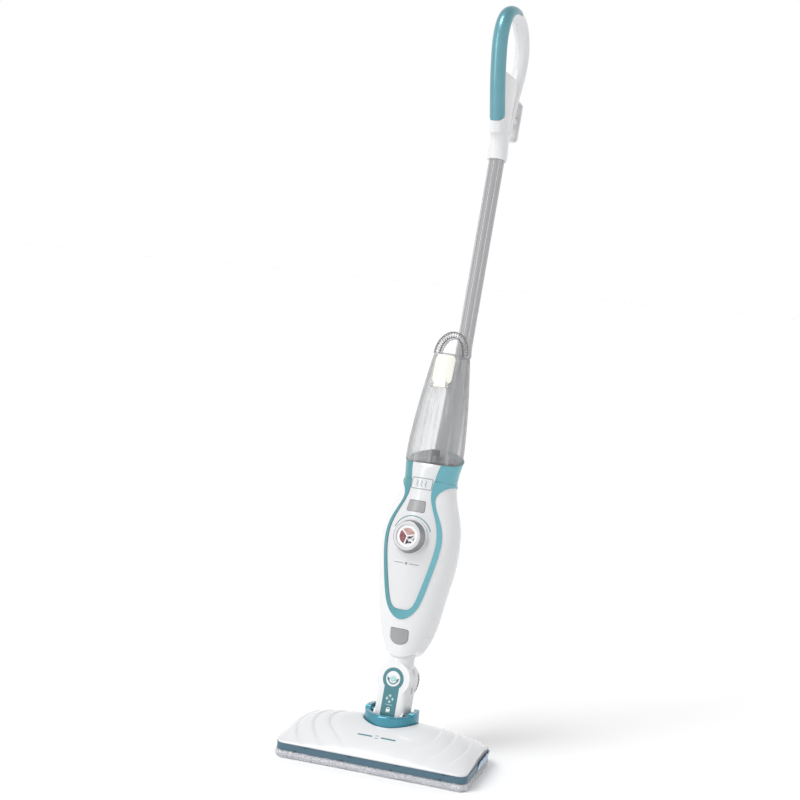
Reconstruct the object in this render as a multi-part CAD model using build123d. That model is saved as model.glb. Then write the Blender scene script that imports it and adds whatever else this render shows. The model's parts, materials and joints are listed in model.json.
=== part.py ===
from build123d import *
import os
from functools import cache
from math import cos, radians, sin

os.makedirs("parts", exist_ok=True)

# A steam mop standing on its pad. Millimetres and degrees, +Z up, +X across the head, -Y ahead of
# the mop. The origin is on the floor, straight under the tilt axle. The upright body is drawn along its own axis, with its origin at the tilt axle, and
# then leant back and swivelled into place.

# Stance
AXLE_HEIGHT = 62.0
LEAN = 12.0
SWIVEL = -6.0

# Head
HEAD_WIDTH = 304.0
HEAD_FRONT = 95.0
HEAD_REAR = 66.0
HEAD_TAPER = 9.0
FRONT_CORNER = 14.0
REAR_CORNER = 22.0
PAD_HEIGHT = 12.0
PAD_OVERHANG = 1.5
CUFF_WALL = 3.0
CUFF_RISE = 15.0
CUFF_WIDTH = 58.0
PLATE_HEIGHT = 11.0
PLATE_FLOOR = 4.0
PLATE_RIM = 6.0
COVER_CREST = 41.0
COVER_LIP = 2.0
COVER_WALL = 3.0
STRIP_DEPTH = 1.2
STRIP_WIDTH = 22.0
STRIP_LENGTH = 240.0
VENT_RADIUS = 2.5
VENT_PITCH = 30.0
MANIFOLD_HEIGHT = 5.0

# Swivel ring
RING_RADIUS = 42.0
RING_WALL = 8.0
RING_TOP = 74.0
RING_FLOOR = 3.0
RING_FLOOR_TOP = 40.4
EAR_WIDTH = 30.0
EAR_TOP = 78.0
HUB_RADIUS = 20.0
HUB_BORE = 11.0
HUB_CLEARANCE = 0.08
RETAINER_RADIUS = 27.0
RETAINER_HEIGHT = 3.0
AXLE_RADIUS = 5.0
AXLE_CLEARANCE = 0.06
TURN_GAP = 0.8

# Neck
NECK_HALF_WIDTH = 24.0
NECK_HALF_DEPTH = 20.0
NECK_WALL = 3.0
KNUCKLE_LENGTH = 12.0
DISC_HEIGHT = 60.0
DISC_RADIUS = 27.0
INLAY_RADIUS = 17.0
INLAY_STRIP = 24.0
INLAY_FOOT = 2.0
INLAY_DEPTH = 1.4
BADGE_RADIUS = 12.0
BADGE_RISE = 0.8
NECK_TOP_HALF_WIDTH = 20.0
NECK_TOP = 122.0
CHEEK_RADIUS = 18.0
HOSE_RADIUS = 5.0

# Housing
HOUSING_BOTTOM = 94.0
HOUSING_HEIGHT = 272.0
HOUSING_WIDTH = 126.0
HOUSING_DEPTH = 94.0
HOUSING_WALL = 3.0
BOWL_RADIUS = 37.0
SPLIT_Y = 8.0
SEAM = 0.2
BAND_WIDTH = 7.0
BAND_FOOT = 15.0
BAND_RISE = 1.2
SHOULDER_HEIGHT = 76.0
BOSS_RADIUS = 4.5
SCREW_RADIUS = 1.7
SCREW_HEAD_RADIUS = 3.2
SCREW_HEAD_HEIGHT = 2.2

# Controls
DIAL_HEIGHT = 277.0
DIAL_RADIUS = 25.5
DIAL_TOP_RADIUS = 22.5
DIAL_RISE = 11.0
DIAL_RIM = 5.0
DIAL_FACE_DROP = 1.6
DIAL_FACE_THICKNESS = 2.0
SECTOR_RADIUS = 13.6
SECTOR_START = 16.0
SECTOR_GAP = 0.9
SECTOR_THICKNESS = 0.7
SHAFT_RADIUS = 4.0
PLINTH_RADIUS = 28.0
STEAM_BUTTON_HEIGHT = 324.5
STEAM_BUTTON_WIDTH = 30.0
STEAM_BUTTON_TALL = 17.0
RELEASE_HEIGHT = 125.0
RELEASE_WIDTH = 29.5
RELEASE_TALL = 23.5
BUTTON_GAP = 0.5
BUTTON_TRAVEL = 2.0
BUTTON_THICKNESS = 5.0
RELEASE_THICKNESS = 4.0
BADGE_FRAME_HEIGHT = 360.0
BADGE_FRAME_WIDTH = 35.0
BADGE_FRAME_TALL = 18.0
BADGE_FRAME_LINE = 1.2

# Tank
TANK_TOP = 566.0
TANK_WALL = 2.4
SEAT_RADIUS = 75.0
SEAT_HEIGHT = 392.0
SEAT_GAP = 0.4
TANK_BACK = 17.0
ARCH_RISE = 37.0
ARCH_BAND = 10.0
ARCH_DEPTH = 14.0
CAP_WIDTH = 32.0
CAP_TALL = 48.0
CAP_BOTTOM = 514.0
CAP_THICKNESS = 2.4
CAP_GAP = 0.4
CAP_CORNER = 7.0
FILLER_RADIUS = 10.0
PLUG_CLEARANCE = 0.8
PLUG_LENGTH = 5.0
HINGE_PIN_RADIUS = 1.5
VALVE_RADIUS = 8.0
VALVE_LENGTH = 10.0

# Pole, spine and handle
POLE_Y = 33.0
POLE_RADIUS = 12.4
POLE_WALL = 1.3
POLE_FLUTES = 10
FLUTE_RADIUS = 2.4
FLUTE_DEPTH = 0.7
SPINE_TOP = 545.0
SPINE_WALL = 3.0
SOCKET_BOTTOM = 455.0
POLE_TOP = 930.0
HANDLE_BOTTOM = 894.0
HANDLE_TUBE = 12.2
HANDLE_WALL = 3.4
HANDLE_COLLAR = 15.6
GRIP_RISE = 0.5
GRIP_THICKNESS = 2.4
GRIP_GAP = 0.3
GRIP_BOTTOM = 948.0
CATCH_HEIGHT = 520.0
CATCH_RADIUS = 4.0
HOOK_HEIGHT = 972.0
HOOK_HALF_LENGTH = 33.0
HOOK_WIDTH = 18.0
HOOK_THICKNESS = 5.0
HOOK_STAND_OFF = 19.0
HOOK_LIP = 7.0
HOOK_BOSS = 8.0
LOWER_HOOK_HEIGHT = 402.0

# Cord outlet
GLAND_HEIGHT = 205.0
GLAND_BORE = 3.5
GLAND_RADIUS = 7.0
GLAND_LENGTH = 24.0

HOUSING_TOP = HOUSING_BOTTOM + HOUSING_HEIGHT
PLATE_TOP = PAD_HEIGHT + PLATE_HEIGHT
WELL_TOP = RING_FLOOR_TOP - RING_FLOOR - TURN_GAP
WELL_RADIUS = RING_RADIUS + TURN_GAP
RING_PLACE = Rot(0, 0, SWIVEL)
BODY_PLACE = Pos(0, 0, AXLE_HEIGHT) * Rot(0, 0, SWIVEL) * Rot(-LEAN, 0, 0)


# Basic shapes
def rod_x(radius, length, x=0.0, y=0.0, z=0.0):
    return Pos(x, y, z) * Rot(0, 90, 0) * Cylinder(radius, length)


def rod_y(radius, length, x=0.0, y=0.0, z=0.0):
    return Pos(x, y, z) * Rot(90, 0, 0) * Cylinder(radius, length)


def rod_z(radius, bottom, top, x=0.0, y=0.0):
    return Pos(x, y, (bottom + top) / 2) * Cylinder(radius, top - bottom)


def block(x_range, y_range, z_range):
    centre = [(low + high) / 2 for low, high in (x_range, y_range, z_range)]
    size = [high - low for low, high in (x_range, y_range, z_range)]
    return Pos(*centre) * Box(*size)


def through_front(face, depth=160.0):
    """Turn an outline drawn in X and Z into a bar along Y, ahead of the body's middle."""
    return extrude(Plane.XZ * face, amount=depth)


def side_slab(face, half_width):
    """Turn an outline drawn in Y and Z into a slab across X."""
    return extrude(Plane.YZ * face, amount=half_width, both=True)


def mirrored_outline(points):
    """Close a smooth outline through points of its +X half, given from the foot upwards."""
    left = [(-x, z) for x, z in reversed(points) if x > 0]
    curve = Spline(left + points)
    return make_face(curve + Line(curve @ 1, curve @ 0))


# Head
def head_outline(grow=0.0):
    """The head's plan: straight front, rear narrowed at both corners."""
    front = HEAD_WIDTH / 2 + grow
    rear = front - HEAD_TAPER
    corners = [
        (-front, -HEAD_FRONT - grow),
        (front, -HEAD_FRONT - grow),
        (rear, HEAD_REAR + grow),
        (-rear, HEAD_REAR + grow),
    ]
    face = make_face(Polyline(*corners, close=True))
    face = fillet(face.vertices().filter_by(lambda v: v.Y < 0), FRONT_CORNER + grow)
    return fillet(face.vertices().filter_by(lambda v: v.Y > 30), REAR_CORNER + grow)


def head_slab(bottom, top, grow=0.0):
    return Pos(0, 0, bottom) * extrude(head_outline(grow), amount=top - bottom)


def mop_pad():
    pad = head_slab(0, PAD_HEIGHT, PAD_OVERHANG)
    return chamfer(pad.edges().group_by(Axis.Z)[-1], 2.0)


def pad_cuffs():
    """Two soft pockets of the pad, folded up over the head's rear corners."""
    outer = head_slab(PAD_HEIGHT, PAD_HEIGHT + CUFF_RISE, CUFF_WALL + SEAM)
    inner = head_slab(PAD_HEIGHT - 1, PAD_HEIGHT + CUFF_RISE + 1, SEAM)
    wall = outer - inner
    reach = HEAD_WIDTH / 2 + 10
    keep = [
        block((side * reach - CUFF_WIDTH, side * reach + CUFF_WIDTH), (0, HEAD_REAR + 10), (0, 60))
        for side in (-1, 1)
    ]
    return [wall & part for part in keep]


def vent_places():
    count = 4
    return [(i * VENT_PITCH, -HEAD_FRONT / 3) for i in range(-count, count + 1)]


def base_plate():
    """Tray under the cover, with the steam vents and two strip pockets in its floor."""
    plate = head_slab(PAD_HEIGHT, PLATE_TOP)
    plate -= head_slab(PAD_HEIGHT + PLATE_FLOOR, PLATE_TOP + 1, -PLATE_RIM)
    for x, y in vent_places():
        plate -= rod_z(VENT_RADIUS, PAD_HEIGHT - 1, PLATE_TOP, x, y)
    for y in strip_rows():
        plate -= strip_block(y, STRIP_DEPTH)
    for x, y in head_screw_places():
        plate += rod_z(BOSS_RADIUS + 1, PAD_HEIGHT, PLATE_TOP, x, y)
    for x, y in head_screw_places():
        plate -= rod_z(SCREW_HEAD_RADIUS + SEAM, PAD_HEIGHT - 1, PAD_HEIGHT + SCREW_HEAD_HEIGHT + 1, x, y)
        plate -= rod_z(SCREW_RADIUS, PAD_HEIGHT, PLATE_TOP + 1, x, y)
    for x in (-100, -30, 45, 118):
        plate -= block((x - 3, x + 3), (-HEAD_FRONT - 1, -HEAD_FRONT + 1.2), (PLATE_TOP - 3, PLATE_TOP + 1))
    return plate


def strip_rows():
    return (-HEAD_FRONT * 0.68, HEAD_REAR * 0.55)


def strip_block(y, depth):
    half = (STRIP_LENGTH / 2, STRIP_WIDTH / 2)
    return block((-half[0], half[0]), (y - half[1], y + half[1]), (PAD_HEIGHT, PAD_HEIGHT + depth))


def hook_strips():
    return [strip_block(y, STRIP_DEPTH) for y in strip_rows()]


def head_screw_places():
    x = HEAD_WIDTH / 2 - 22
    return [(side * x, y) for side in (-1, 1) for y in (-HEAD_FRONT + 16, HEAD_REAR - 30)]


def head_screws():
    bottom = PAD_HEIGHT + SEAM
    return [screw_up(x, y, bottom, PLATE_HEIGHT + 6) for x, y in head_screw_places()]


def screw_up(x, y, bottom, length):
    head = rod_z(SCREW_HEAD_RADIUS, bottom, bottom + SCREW_HEAD_HEIGHT, x, y)
    return head + rod_z(SCREW_RADIUS - 0.1, bottom + SCREW_HEAD_HEIGHT, bottom + length, x, y)


def steam_manifold():
    """Low channel that spreads steam from the hub over the row of vents."""
    y = -HEAD_FRONT / 3
    bottom = PAD_HEIGHT + PLATE_FLOOR
    reach = 4 * VENT_PITCH + 8
    body = block((-reach, reach), (y - 9, y + 9), (bottom, bottom + MANIFOLD_HEIGHT))
    body += block((-14, 14), (y, 14), (bottom, bottom + MANIFOLD_HEIGHT))
    body -= block((-reach + 2, reach - 2), (y - 7, y + 7), (bottom - 1, bottom + MANIFOLD_HEIGHT - 1.5))
    body -= block((-12, 12), (y, 12), (bottom - 1, bottom + MANIFOLD_HEIGHT - 1.5))
    return body - rod_z(6, bottom, bottom + MANIFOLD_HEIGHT + 1)


@cache
def dome(grow=0.0):
    """Low dome lofted across the head: each rib is an arc from the front edge to the rear edge."""
    ribs = [(0.0, 1.0, 0.0), (0.2, 0.99, 0.0), (0.42, 0.955, 0.0), (0.65, 0.87, 0.0), (0.84, 0.69, 0.5)]
    ribs += [(0.94, 0.47, 3.0), (0.985, 0.26, 9.0), (1.0, 0.16, 14.0)]
    half = HEAD_WIDTH / 2 + grow
    faces = []
    for share, rise, tuck in [(-a, b, c) for a, b, c in reversed(ribs[1:])] + ribs:
        side = abs(share)
        front = -HEAD_FRONT - grow + tuck
        rear = HEAD_REAR + grow - tuck - HEAD_TAPER * max(0.0, side - 0.7)
        bottom = PLATE_TOP + (0.0 if grow == 0 else -1.0)
        lip = PLATE_TOP + COVER_LIP
        crest = PLATE_TOP + (COVER_CREST + grow) * rise
        middle = (front + rear) / 2
        top = ThreePointArc((front, lip), (middle, crest), (rear, lip))
        rest = Polyline((rear, lip), (rear, bottom), (front, bottom), (front, lip))
        rib_plane = Plane(origin=(share * half, 0, 0), x_dir=(0, 1, 0), z_dir=(1, 0, 0))
        faces.append(rib_plane * make_face(top + rest))
    return loft(faces)


def head_cover():
    cover = dome() - dome(-COVER_WALL)
    well = rod_z(WELL_RADIUS + COVER_WALL, WELL_TOP - COVER_WALL, PLATE_TOP + COVER_CREST)
    cover += well & dome()
    for x, y in head_screw_places():
        post = rod_z(BOSS_RADIUS, PLATE_TOP, PLATE_TOP + COVER_CREST, x, y) & dome()
        cover += post
    cover -= rod_z(WELL_RADIUS, WELL_TOP, PLATE_TOP + COVER_CREST + 5)
    cover -= rod_z(HUB_RADIUS + HUB_CLEARANCE, PLATE_TOP, WELL_TOP + 1)
    for x, y in head_screw_places():
        cover -= rod_z(SCREW_RADIUS, PLATE_TOP - 1, PLATE_TOP + 8, x, y)
    return cover & head_slab(PLATE_TOP, 100)


# Swivel ring
def swivel_ring():
    """Turntable with a raised rim, two axle ears and a gap at the rear for the laid-back neck."""
    floor_bottom = RING_FLOOR_TOP - RING_FLOOR
    inner = RING_RADIUS - RING_WALL
    ring = rod_z(RING_RADIUS, floor_bottom, RING_TOP)
    ring = fillet(ring.edges().group_by(Axis.Z)[-1], 3.0)
    ears = rod_z(RING_RADIUS, RING_TOP - 4, EAR_TOP) & block(
        (-RING_RADIUS, RING_RADIUS), (-EAR_WIDTH / 2 + 4, EAR_WIDTH / 2 + 4), (0, EAR_TOP)
    )
    ring += fillet(ears.edges().group_by(Axis.Z)[-1], 2.0)
    ring -= rod_z(inner, RING_FLOOR_TOP, EAR_TOP + 1)
    for side in (-1, 1):
        face = NECK_HALF_WIDTH + TURN_GAP
        cheek = block(sorted((side * face, side * (inner + 1))), (-13, 13), (RING_FLOOR_TOP, RING_TOP))
        ring += cheek & rod_z(RING_RADIUS - 2, 0, 200)
    gap = NECK_HALF_WIDTH + 2.5
    ring -= block((-gap, gap), (18, RING_RADIUS + 5), (RING_FLOOR_TOP + 6, EAR_TOP + 5))
    ring -= Pos(0, 0, AXLE_HEIGHT) * rod_x(AXLE_RADIUS, 2 * axle_outer())
    ring += rod_z(HUB_RADIUS, WELL_TOP - COVER_WALL - RETAINER_HEIGHT - TURN_GAP, floor_bottom)
    return ring - rod_z(HUB_BORE, 0, RING_FLOOR_TOP + 1)


def axle_inner():
    return NECK_HALF_WIDTH - KNUCKLE_LENGTH + 1.0


def axle_outer():
    return RING_RADIUS - 5.0


def tilt_axles():
    """One stub axle each side, so that the steam hose runs free between them."""
    length = axle_outer() - axle_inner()
    middle = (axle_outer() + axle_inner()) / 2
    return [rod_x(AXLE_RADIUS, length, side * middle, 0, AXLE_HEIGHT) for side in (-1, 1)]


def hub_retainer():
    top = WELL_TOP - COVER_WALL - TURN_GAP
    washer = rod_z(RETAINER_RADIUS, top - RETAINER_HEIGHT, top)
    return washer - rod_z(HUB_RADIUS, top - RETAINER_HEIGHT - 1, top + 1)


# Neck, along the body's axis with its origin at the tilt axle
def neck_form(grow=0.0):
    wide = NECK_HALF_WIDTH + grow
    deep = NECK_HALF_DEPTH + grow
    lower = block((-wide, wide), (-deep, deep), (0, DISC_HEIGHT))
    lower = fillet(lower.edges().filter_by(Axis.Z), 7.0 + grow)
    form = lower + rod_x(deep, 2 * wide)
    form += rod_y(DISC_RADIUS + grow, 2 * deep, 0, 0, DISC_HEIGHT)
    return form + neck_tube(grow)


def neck_tube(grow=0.0):
    wide = NECK_TOP_HALF_WIDTH + grow
    deep = NECK_HALF_DEPTH + grow
    face = Pos(0, 0, DISC_HEIGHT) * Ellipse(wide, deep)
    return extrude(face, amount=NECK_TOP - DISC_HEIGHT)


def neck_shell():
    shell = neck_form() - neck_cavity()
    shell -= rod_x(AXLE_RADIUS + AXLE_CLEARANCE, 3 * NECK_HALF_WIDTH)
    shell -= rod_z(HUB_BORE, -NECK_HALF_DEPTH - 1, DISC_HEIGHT)
    return shell


def neck_cavity():
    wide = NECK_HALF_WIDTH - NECK_WALL
    deep = NECK_HALF_DEPTH - NECK_WALL - INLAY_DEPTH
    cavity = block((-wide + 3, wide - 3), (-deep, deep), (KNUCKLE_LENGTH, DISC_HEIGHT + 12))
    upper = Pos(0, 0, DISC_HEIGHT) * Ellipse(NECK_TOP_HALF_WIDTH - NECK_WALL, deep)
    return cavity + extrude(upper, amount=NECK_TOP - DISC_HEIGHT + 1)


def neck_front():
    front = neck_shell() & block((-60, 60), (-60, 0), (-60, 200))
    front -= inlay_form(SEAM, INLAY_DEPTH)
    return front


def neck_rear():
    rear = neck_shell() & block((-60, 60), (SEAM, 60), (-60, 200))
    for screw in neck_screws():
        rear -= screw
    for side in (-1, 1):
        rear -= cheek_pocket(side)
    return rear


def neck_screws():
    tip = NECK_HALF_DEPTH - 1.0
    return [screw_in(side * 19.0, tip, DISC_HEIGHT - 25.0, 12.0) for side in (-1, 1)]


def screw_in(x, y, z, length, toward=-1):
    """Screw driven along Y from its head at y, towards -Y unless toward is 1."""
    head_y = y + toward * SCREW_HEAD_HEIGHT / 2
    shank_y = y + toward * (SCREW_HEAD_HEIGHT + length / 2)
    head = rod_y(SCREW_HEAD_RADIUS, SCREW_HEAD_HEIGHT, x, head_y, z)
    return head + rod_y(SCREW_RADIUS, length, x, shank_y, z)


def inlay_form(grow, depth):
    """Keyhole outline on the neck's front face: a disc with a strip down to the knuckle."""
    half = INLAY_STRIP / 2 + grow
    disc = Pos(0, DISC_HEIGHT) * Circle(INLAY_RADIUS + grow)
    middle = (DISC_HEIGHT + INLAY_FOOT - grow) / 2
    strip = Pos(0, middle) * Rectangle(2 * half, DISC_HEIGHT - INLAY_FOOT + grow)
    solid = through_front(disc + strip, 60)
    return solid & block((-60, 60), (-60, -NECK_HALF_DEPTH + depth), (-60, 200))


def neck_inlay():
    inlay = inlay_form(0, INLAY_DEPTH) & block((-60, 60), (-NECK_HALF_DEPTH - 0.3, 0), (-60, 200))
    return inlay - badge_bar(BADGE_RADIUS)


def badge_bar(radius):
    length = INLAY_DEPTH + 6
    return rod_y(radius, length, 0, -NECK_HALF_DEPTH + INLAY_DEPTH - length / 2, DISC_HEIGHT)


def neck_badge():
    thick = INLAY_DEPTH + BADGE_RISE
    badge = rod_y(BADGE_RADIUS - SEAM, thick, 0, -NECK_HALF_DEPTH + INLAY_DEPTH - thick / 2, DISC_HEIGHT)
    return chamfer(badge.edges().group_by(Axis.Y)[0], 0.5)


def cheek_pocket(side, grow=SEAM):
    x = side * (NECK_HALF_WIDTH + 5)
    rod = rod_x(CHEEK_RADIUS + grow, 14 + 2 * grow, x, CHEEK_RADIUS * 0.2, DISC_HEIGHT)
    return rod & block((-60, 60), (1.4 - grow, NECK_HALF_DEPTH - 1.7 + grow), (-60, 200))


def detent_cheeks():
    """Toothed discs let into the neck's sides, which show its lock positions."""
    cheeks = []
    for side in (-1, 1):
        cheek = cheek_pocket(side, 0) & block((-26, 26), (-60, 60), (-60, 200))
        for i in range(5):
            angle = radians(-40 + i * 20)
            y = CHEEK_RADIUS * 0.2 + (CHEEK_RADIUS - 3.5) * cos(angle)
            z = DISC_HEIGHT + (CHEEK_RADIUS - 3.5) * sin(angle)
            cheek -= rod_x(1.3, 3, side * 26, y, z)
        cheeks.append(cheek)
    return cheeks


# Housing
def up(share):
    return HOUSING_BOTTOM + share * HOUSING_HEIGHT


@cache
def body_form(grow=0.0):
    """The housing's outer shape: ellipses blended up the axis, on to the collar under the tank."""
    sections = [
        (-0.02, 0.46, 0.56, 6.0), (0.09, 0.58, 0.68, 5.0), (0.2, 0.74, 0.8, 3.0),
        (0.37, 0.87, 0.92, -1.0), (0.54, 0.985, 0.99, -3.0), (0.65, 1.0, 1.0, -5.0),
        (0.76, 0.955, 0.96, -6.0), (0.85, 0.835, 0.88, -6.5), (0.94, 0.71, 0.8, -6.5),
        (1.0, 0.675, 0.76, -7.0), (1.09, 0.715, 0.68, -8.0), (1.25, 0.725, 0.61, -10.0),
    ]
    faces = []
    for share, wide, deep, y in sections:
        ellipse = Ellipse(wide * HOUSING_WIDTH / 2 + grow, deep * HOUSING_DEPTH / 2 + grow)
        faces.append(Pos(0, y, up(share)) * ellipse)
    return loft(faces)


def bowl(grow=0.0):
    """Everything above the smile-shaped lower edge of the housing."""
    centre = HOUSING_BOTTOM + BOWL_RADIUS
    round_end = rod_y(BOWL_RADIUS + grow, 300, 0, 0, centre)
    return round_end + block((-200, 200), (-150, 150), (centre, 700))


def shoulder(grow=0.0):
    """Swelling at the housing's rear that carries the spine."""
    low = Pos(0, POLE_Y - 12, HOUSING_TOP - SHOULDER_HEIGHT) * Ellipse(16 + grow, 12 + grow)
    high = Pos(0, POLE_Y - 1, HOUSING_TOP) * Ellipse(spine_half(0)[0] + grow, spine_half(0)[1] + grow)
    return loft([low, high])


def spine_half(share):
    """Half width and half depth of the spine, from its foot (0) to its top (1)."""
    top = POLE_RADIUS + SPINE_WALL
    return (top + 5.5 * (1 - share), top + 1.5 * (1 - share))


@cache
def housing_outer():
    lower = block((-200, 200), (-150, 150), (0, HOUSING_TOP))
    return (body_form() + shoulder()) & bowl() & lower


@cache
def housing_inner():
    lower = block((-200, 200), (-150, 150), (0, HOUSING_TOP + 1))
    return body_form(-HOUSING_WALL) & bowl(-HOUSING_WALL) & lower


def panel_points(inset=0.0):
    """Right half of the trim's outline; inset moves it in, and lifts its foot by more."""
    shares = [(0.0, 0.21), (0.286, 0.245), (0.5, 0.346), (0.627, 0.47), (0.722, 0.588), (0.746, 0.669)]
    shares += [(0.66, 0.765), (0.5, 0.84), (0.41, 0.9), (0.405, 0.96)]
    lift = (BAND_FOOT - BAND_WIDTH) * inset / BAND_WIDTH
    points = []
    for wide, high in shares:
        x = wide * HOUSING_WIDTH / 2
        rise = lift * (1 - wide / 0.746) + (inset if wide == 0 else 0.4 * inset * (1 - wide / 0.746))
        points.append((max(x - inset, 0.0) if wide else 0.0, up(high) + rise))
    return points


def panel_outline(inset=0.0, top_half=0.0):
    """Hourglass outline, whose top runs on to the tank's seat when top_half is given."""
    points = panel_points(inset)
    if top_half:
        points = points + [(top_half, up(1.18))]
    return mirrored_outline(points)


def band_outline():
    """The trim's outline, whose top flares out to the collar's seam."""
    points = panel_points()[:-1]
    flare = HOUSING_WIDTH / 2
    points = points[:-1] + [(0.42 * flare, up(0.915)), (0.56 * flare, up(0.965)), (0.86 * flare, up(0.999))]
    return mirrored_outline(points)


@cache
def panel_bar(grow=0.0):
    return through_front(panel_outline(BAND_WIDTH - grow, 0.39 * HOUSING_WIDTH / 2 + grow))


def trim_band():
    band = through_front(band_outline()) & block((-200, 200), (-150, 0), (0, HOUSING_TOP - SEAM))
    band &= body_form(BAND_RISE) - body_form(-HOUSING_WALL)
    return band - panel_bar(SEAM)


@cache
def seat_cutter(grow=0.0):
    """Round trough, across the body, in which the tank's bottom sits."""
    y = -40.0
    z = SEAT_HEIGHT + SEAT_RADIUS
    trough = rod_x(SEAT_RADIUS + grow, 300, 0, y, z)
    return trough + block((-150, 150), (y - 100, y), (SEAT_HEIGHT - grow, z)) + block(
        (-150, 150), (-150, 150), (z, z + 300)
    )


def front_panel():
    """Face of the housing inside the trim, with its holes, plinth and backing flange."""
    panel = panel_bar() & (body_form() - body_form(-HOUSING_WALL))
    flange = through_front(panel_outline(-3.0)) & (body_form(-HOUSING_WALL) - body_form(-HOUSING_WALL - 1.6))
    flange &= block((-200, 200), (-150, -15), (0, HOUSING_TOP - 8))
    panel += flange
    panel += rod_y(PLINTH_RADIUS, 12, 0, front_y() + 6 - 0.6, DIAL_HEIGHT) - body_form(-HOUSING_WALL)
    panel -= rod_y(SHAFT_RADIUS + 0.5, 40, 0, front_y(), DIAL_HEIGHT)
    panel -= steam_button_bar(BUTTON_GAP)
    panel -= seat_cutter(SEAT_GAP)
    return panel - frame_groove()


def front_y():
    """Foremost point of the housing at the dial."""
    return -5.0 - HOUSING_DEPTH / 2


def housing_front():
    shell = housing_outer() - housing_inner()
    shell &= block((-200, 200), (-150, SPLIT_Y - SEAM), (0, 600))
    shell -= through_front(band_outline())
    shell -= through_front(panel_outline(0.0, 0.41 * HOUSING_WIDTH / 2))
    shell -= through_front(release_outline(BUTTON_GAP))
    return shell - neck_hole()


def neck_hole():
    return neck_tube(0.4) - block((-60, 60), (-60, 60), (HOUSING_BOTTOM + 30, 300))


def boss_places():
    """Screw bosses of the rear shell, as x and height."""
    return [(side * x, z) for side in (-1, 1) for x, z in ((44, up(0.52)), (38, up(0.8)), (24, up(0.17)))]


def housing_rear():
    shell = housing_outer() - housing_inner()
    shell &= block((-200, 200), (SPLIT_Y, 150), (0, 600))
    for x, z in boss_places():
        shell += rod_y(BOSS_RADIUS, 60, x, SPLIT_Y + 30, z) & housing_outer()
    for screw in housing_screws():
        shell -= screw
    shell -= rod_y(GLAND_RADIUS - 2, 60, 0, gland_y() - 20, GLAND_HEIGHT)
    shell -= neck_hole()
    return shell - spine_form(SEAM)


def housing_screws():
    """Screws whose heads sit in the rear shell, 12 mm behind the split."""
    return [screw_in(x, SPLIT_Y + 12, z, 11.0) for x, z in boss_places()]


def frame_groove(grow=0.0):
    size = (BADGE_FRAME_WIDTH, BADGE_FRAME_TALL)
    outer = RectangleRounded(size[0] + 2 * grow, size[1] + 2 * grow, 2.5)
    line = BADGE_FRAME_LINE
    inner = RectangleRounded(size[0] - 2 * line - 2 * grow, size[1] - 2 * line - 2 * grow, 1.5)
    bar = through_front(Pos(0, BADGE_FRAME_HEIGHT) * (outer - inner))
    return bar & (body_form(2.0) - body_form(-0.8))


def badge_frame():
    return frame_groove() & body_form(0.3)


def tank_collar():
    """Coloured collar round the top of the housing, rising at the sides and rear to hold the tank."""
    top = block((-200, 200), (-150, TANK_BACK + 1), (HOUSING_TOP + SEAM, HOUSING_TOP + 90))
    collar = (body_form() - body_form(-HOUSING_WALL)) & top
    collar -= seat_cutter()
    collar -= panel_bar(SEAM)
    return collar - spine_form(SEAM)


def tank_seat():
    """Deck inside the collar, with the socket for the tank's valve."""
    top = block((-200, 200), (-150, TANK_BACK - 1), (HOUSING_TOP + SEAM, HOUSING_TOP + 90))
    deck = body_form(-HOUSING_WALL - SEAM) & top
    deck -= seat_cutter()
    hollow = body_form(-HOUSING_WALL - 4) & block((-200, 200), (-150, TANK_BACK - 5), (0, SEAT_HEIGHT - 5))
    deck -= hollow
    deck -= rod_z(VALVE_RADIUS + 1, HOUSING_TOP - 5, SEAT_HEIGHT + 60, 0, -12)
    return deck - spine_form(SEAM)


# Controls
def dial_bezel():
    """Turned ring that slopes in to the face, with the shaft behind it."""
    base = front_y() - 1.2
    ring = Pos(0, base, DIAL_HEIGHT) * Rot(90, 0, 0) * Cone(
        DIAL_RADIUS, DIAL_TOP_RADIUS, DIAL_RISE, align=(Align.CENTER, Align.CENTER, Align.MIN)
    )
    ring = fillet(ring.edges().group_by(Axis.Y)[0], 1.2)
    pocket = DIAL_FACE_DROP + DIAL_FACE_THICKNESS
    middle = base - DIAL_RISE + (pocket - 2) / 2
    ring -= rod_y(DIAL_TOP_RADIUS - DIAL_RIM, pocket + 2, 0, middle, DIAL_HEIGHT)
    return ring + rod_y(SHAFT_RADIUS, 14, 0, base + 7, DIAL_HEIGHT)


def face_y():
    """Front surface of the dial's face."""
    return front_y() - 1.2 - DIAL_RISE + DIAL_FACE_DROP


def dial_face():
    middle = face_y() + DIAL_FACE_THICKNESS / 2
    face = rod_y(DIAL_TOP_RADIUS - DIAL_RIM, DIAL_FACE_THICKNESS, 0, middle, DIAL_HEIGHT)
    for sector in dial_sectors():
        face -= sector
    return face


@cache
def dial_sectors():
    """Three inlaid sectors, for a wood, a tile and a stone floor."""
    sectors = []
    for i in range(3):
        start = SECTOR_START + i * 120
        points = [(0, 0)]
        steps = 12
        for k in range(steps + 1):
            angle = radians(start + 120 * k / steps)
            points.append((SECTOR_RADIUS * cos(angle), SECTOR_RADIUS * sin(angle)))
        wedge = make_face(Polyline(*points, close=True))
        wedge = offset(wedge, -SECTOR_GAP)
        bar = extrude(Pos(0, DIAL_HEIGHT) * wedge, amount=SECTOR_THICKNESS)
        sectors.append(Pos(0, face_y() + SECTOR_THICKNESS, 0) * Rot(90, 0, 0) * bar)
    return sectors


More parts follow.
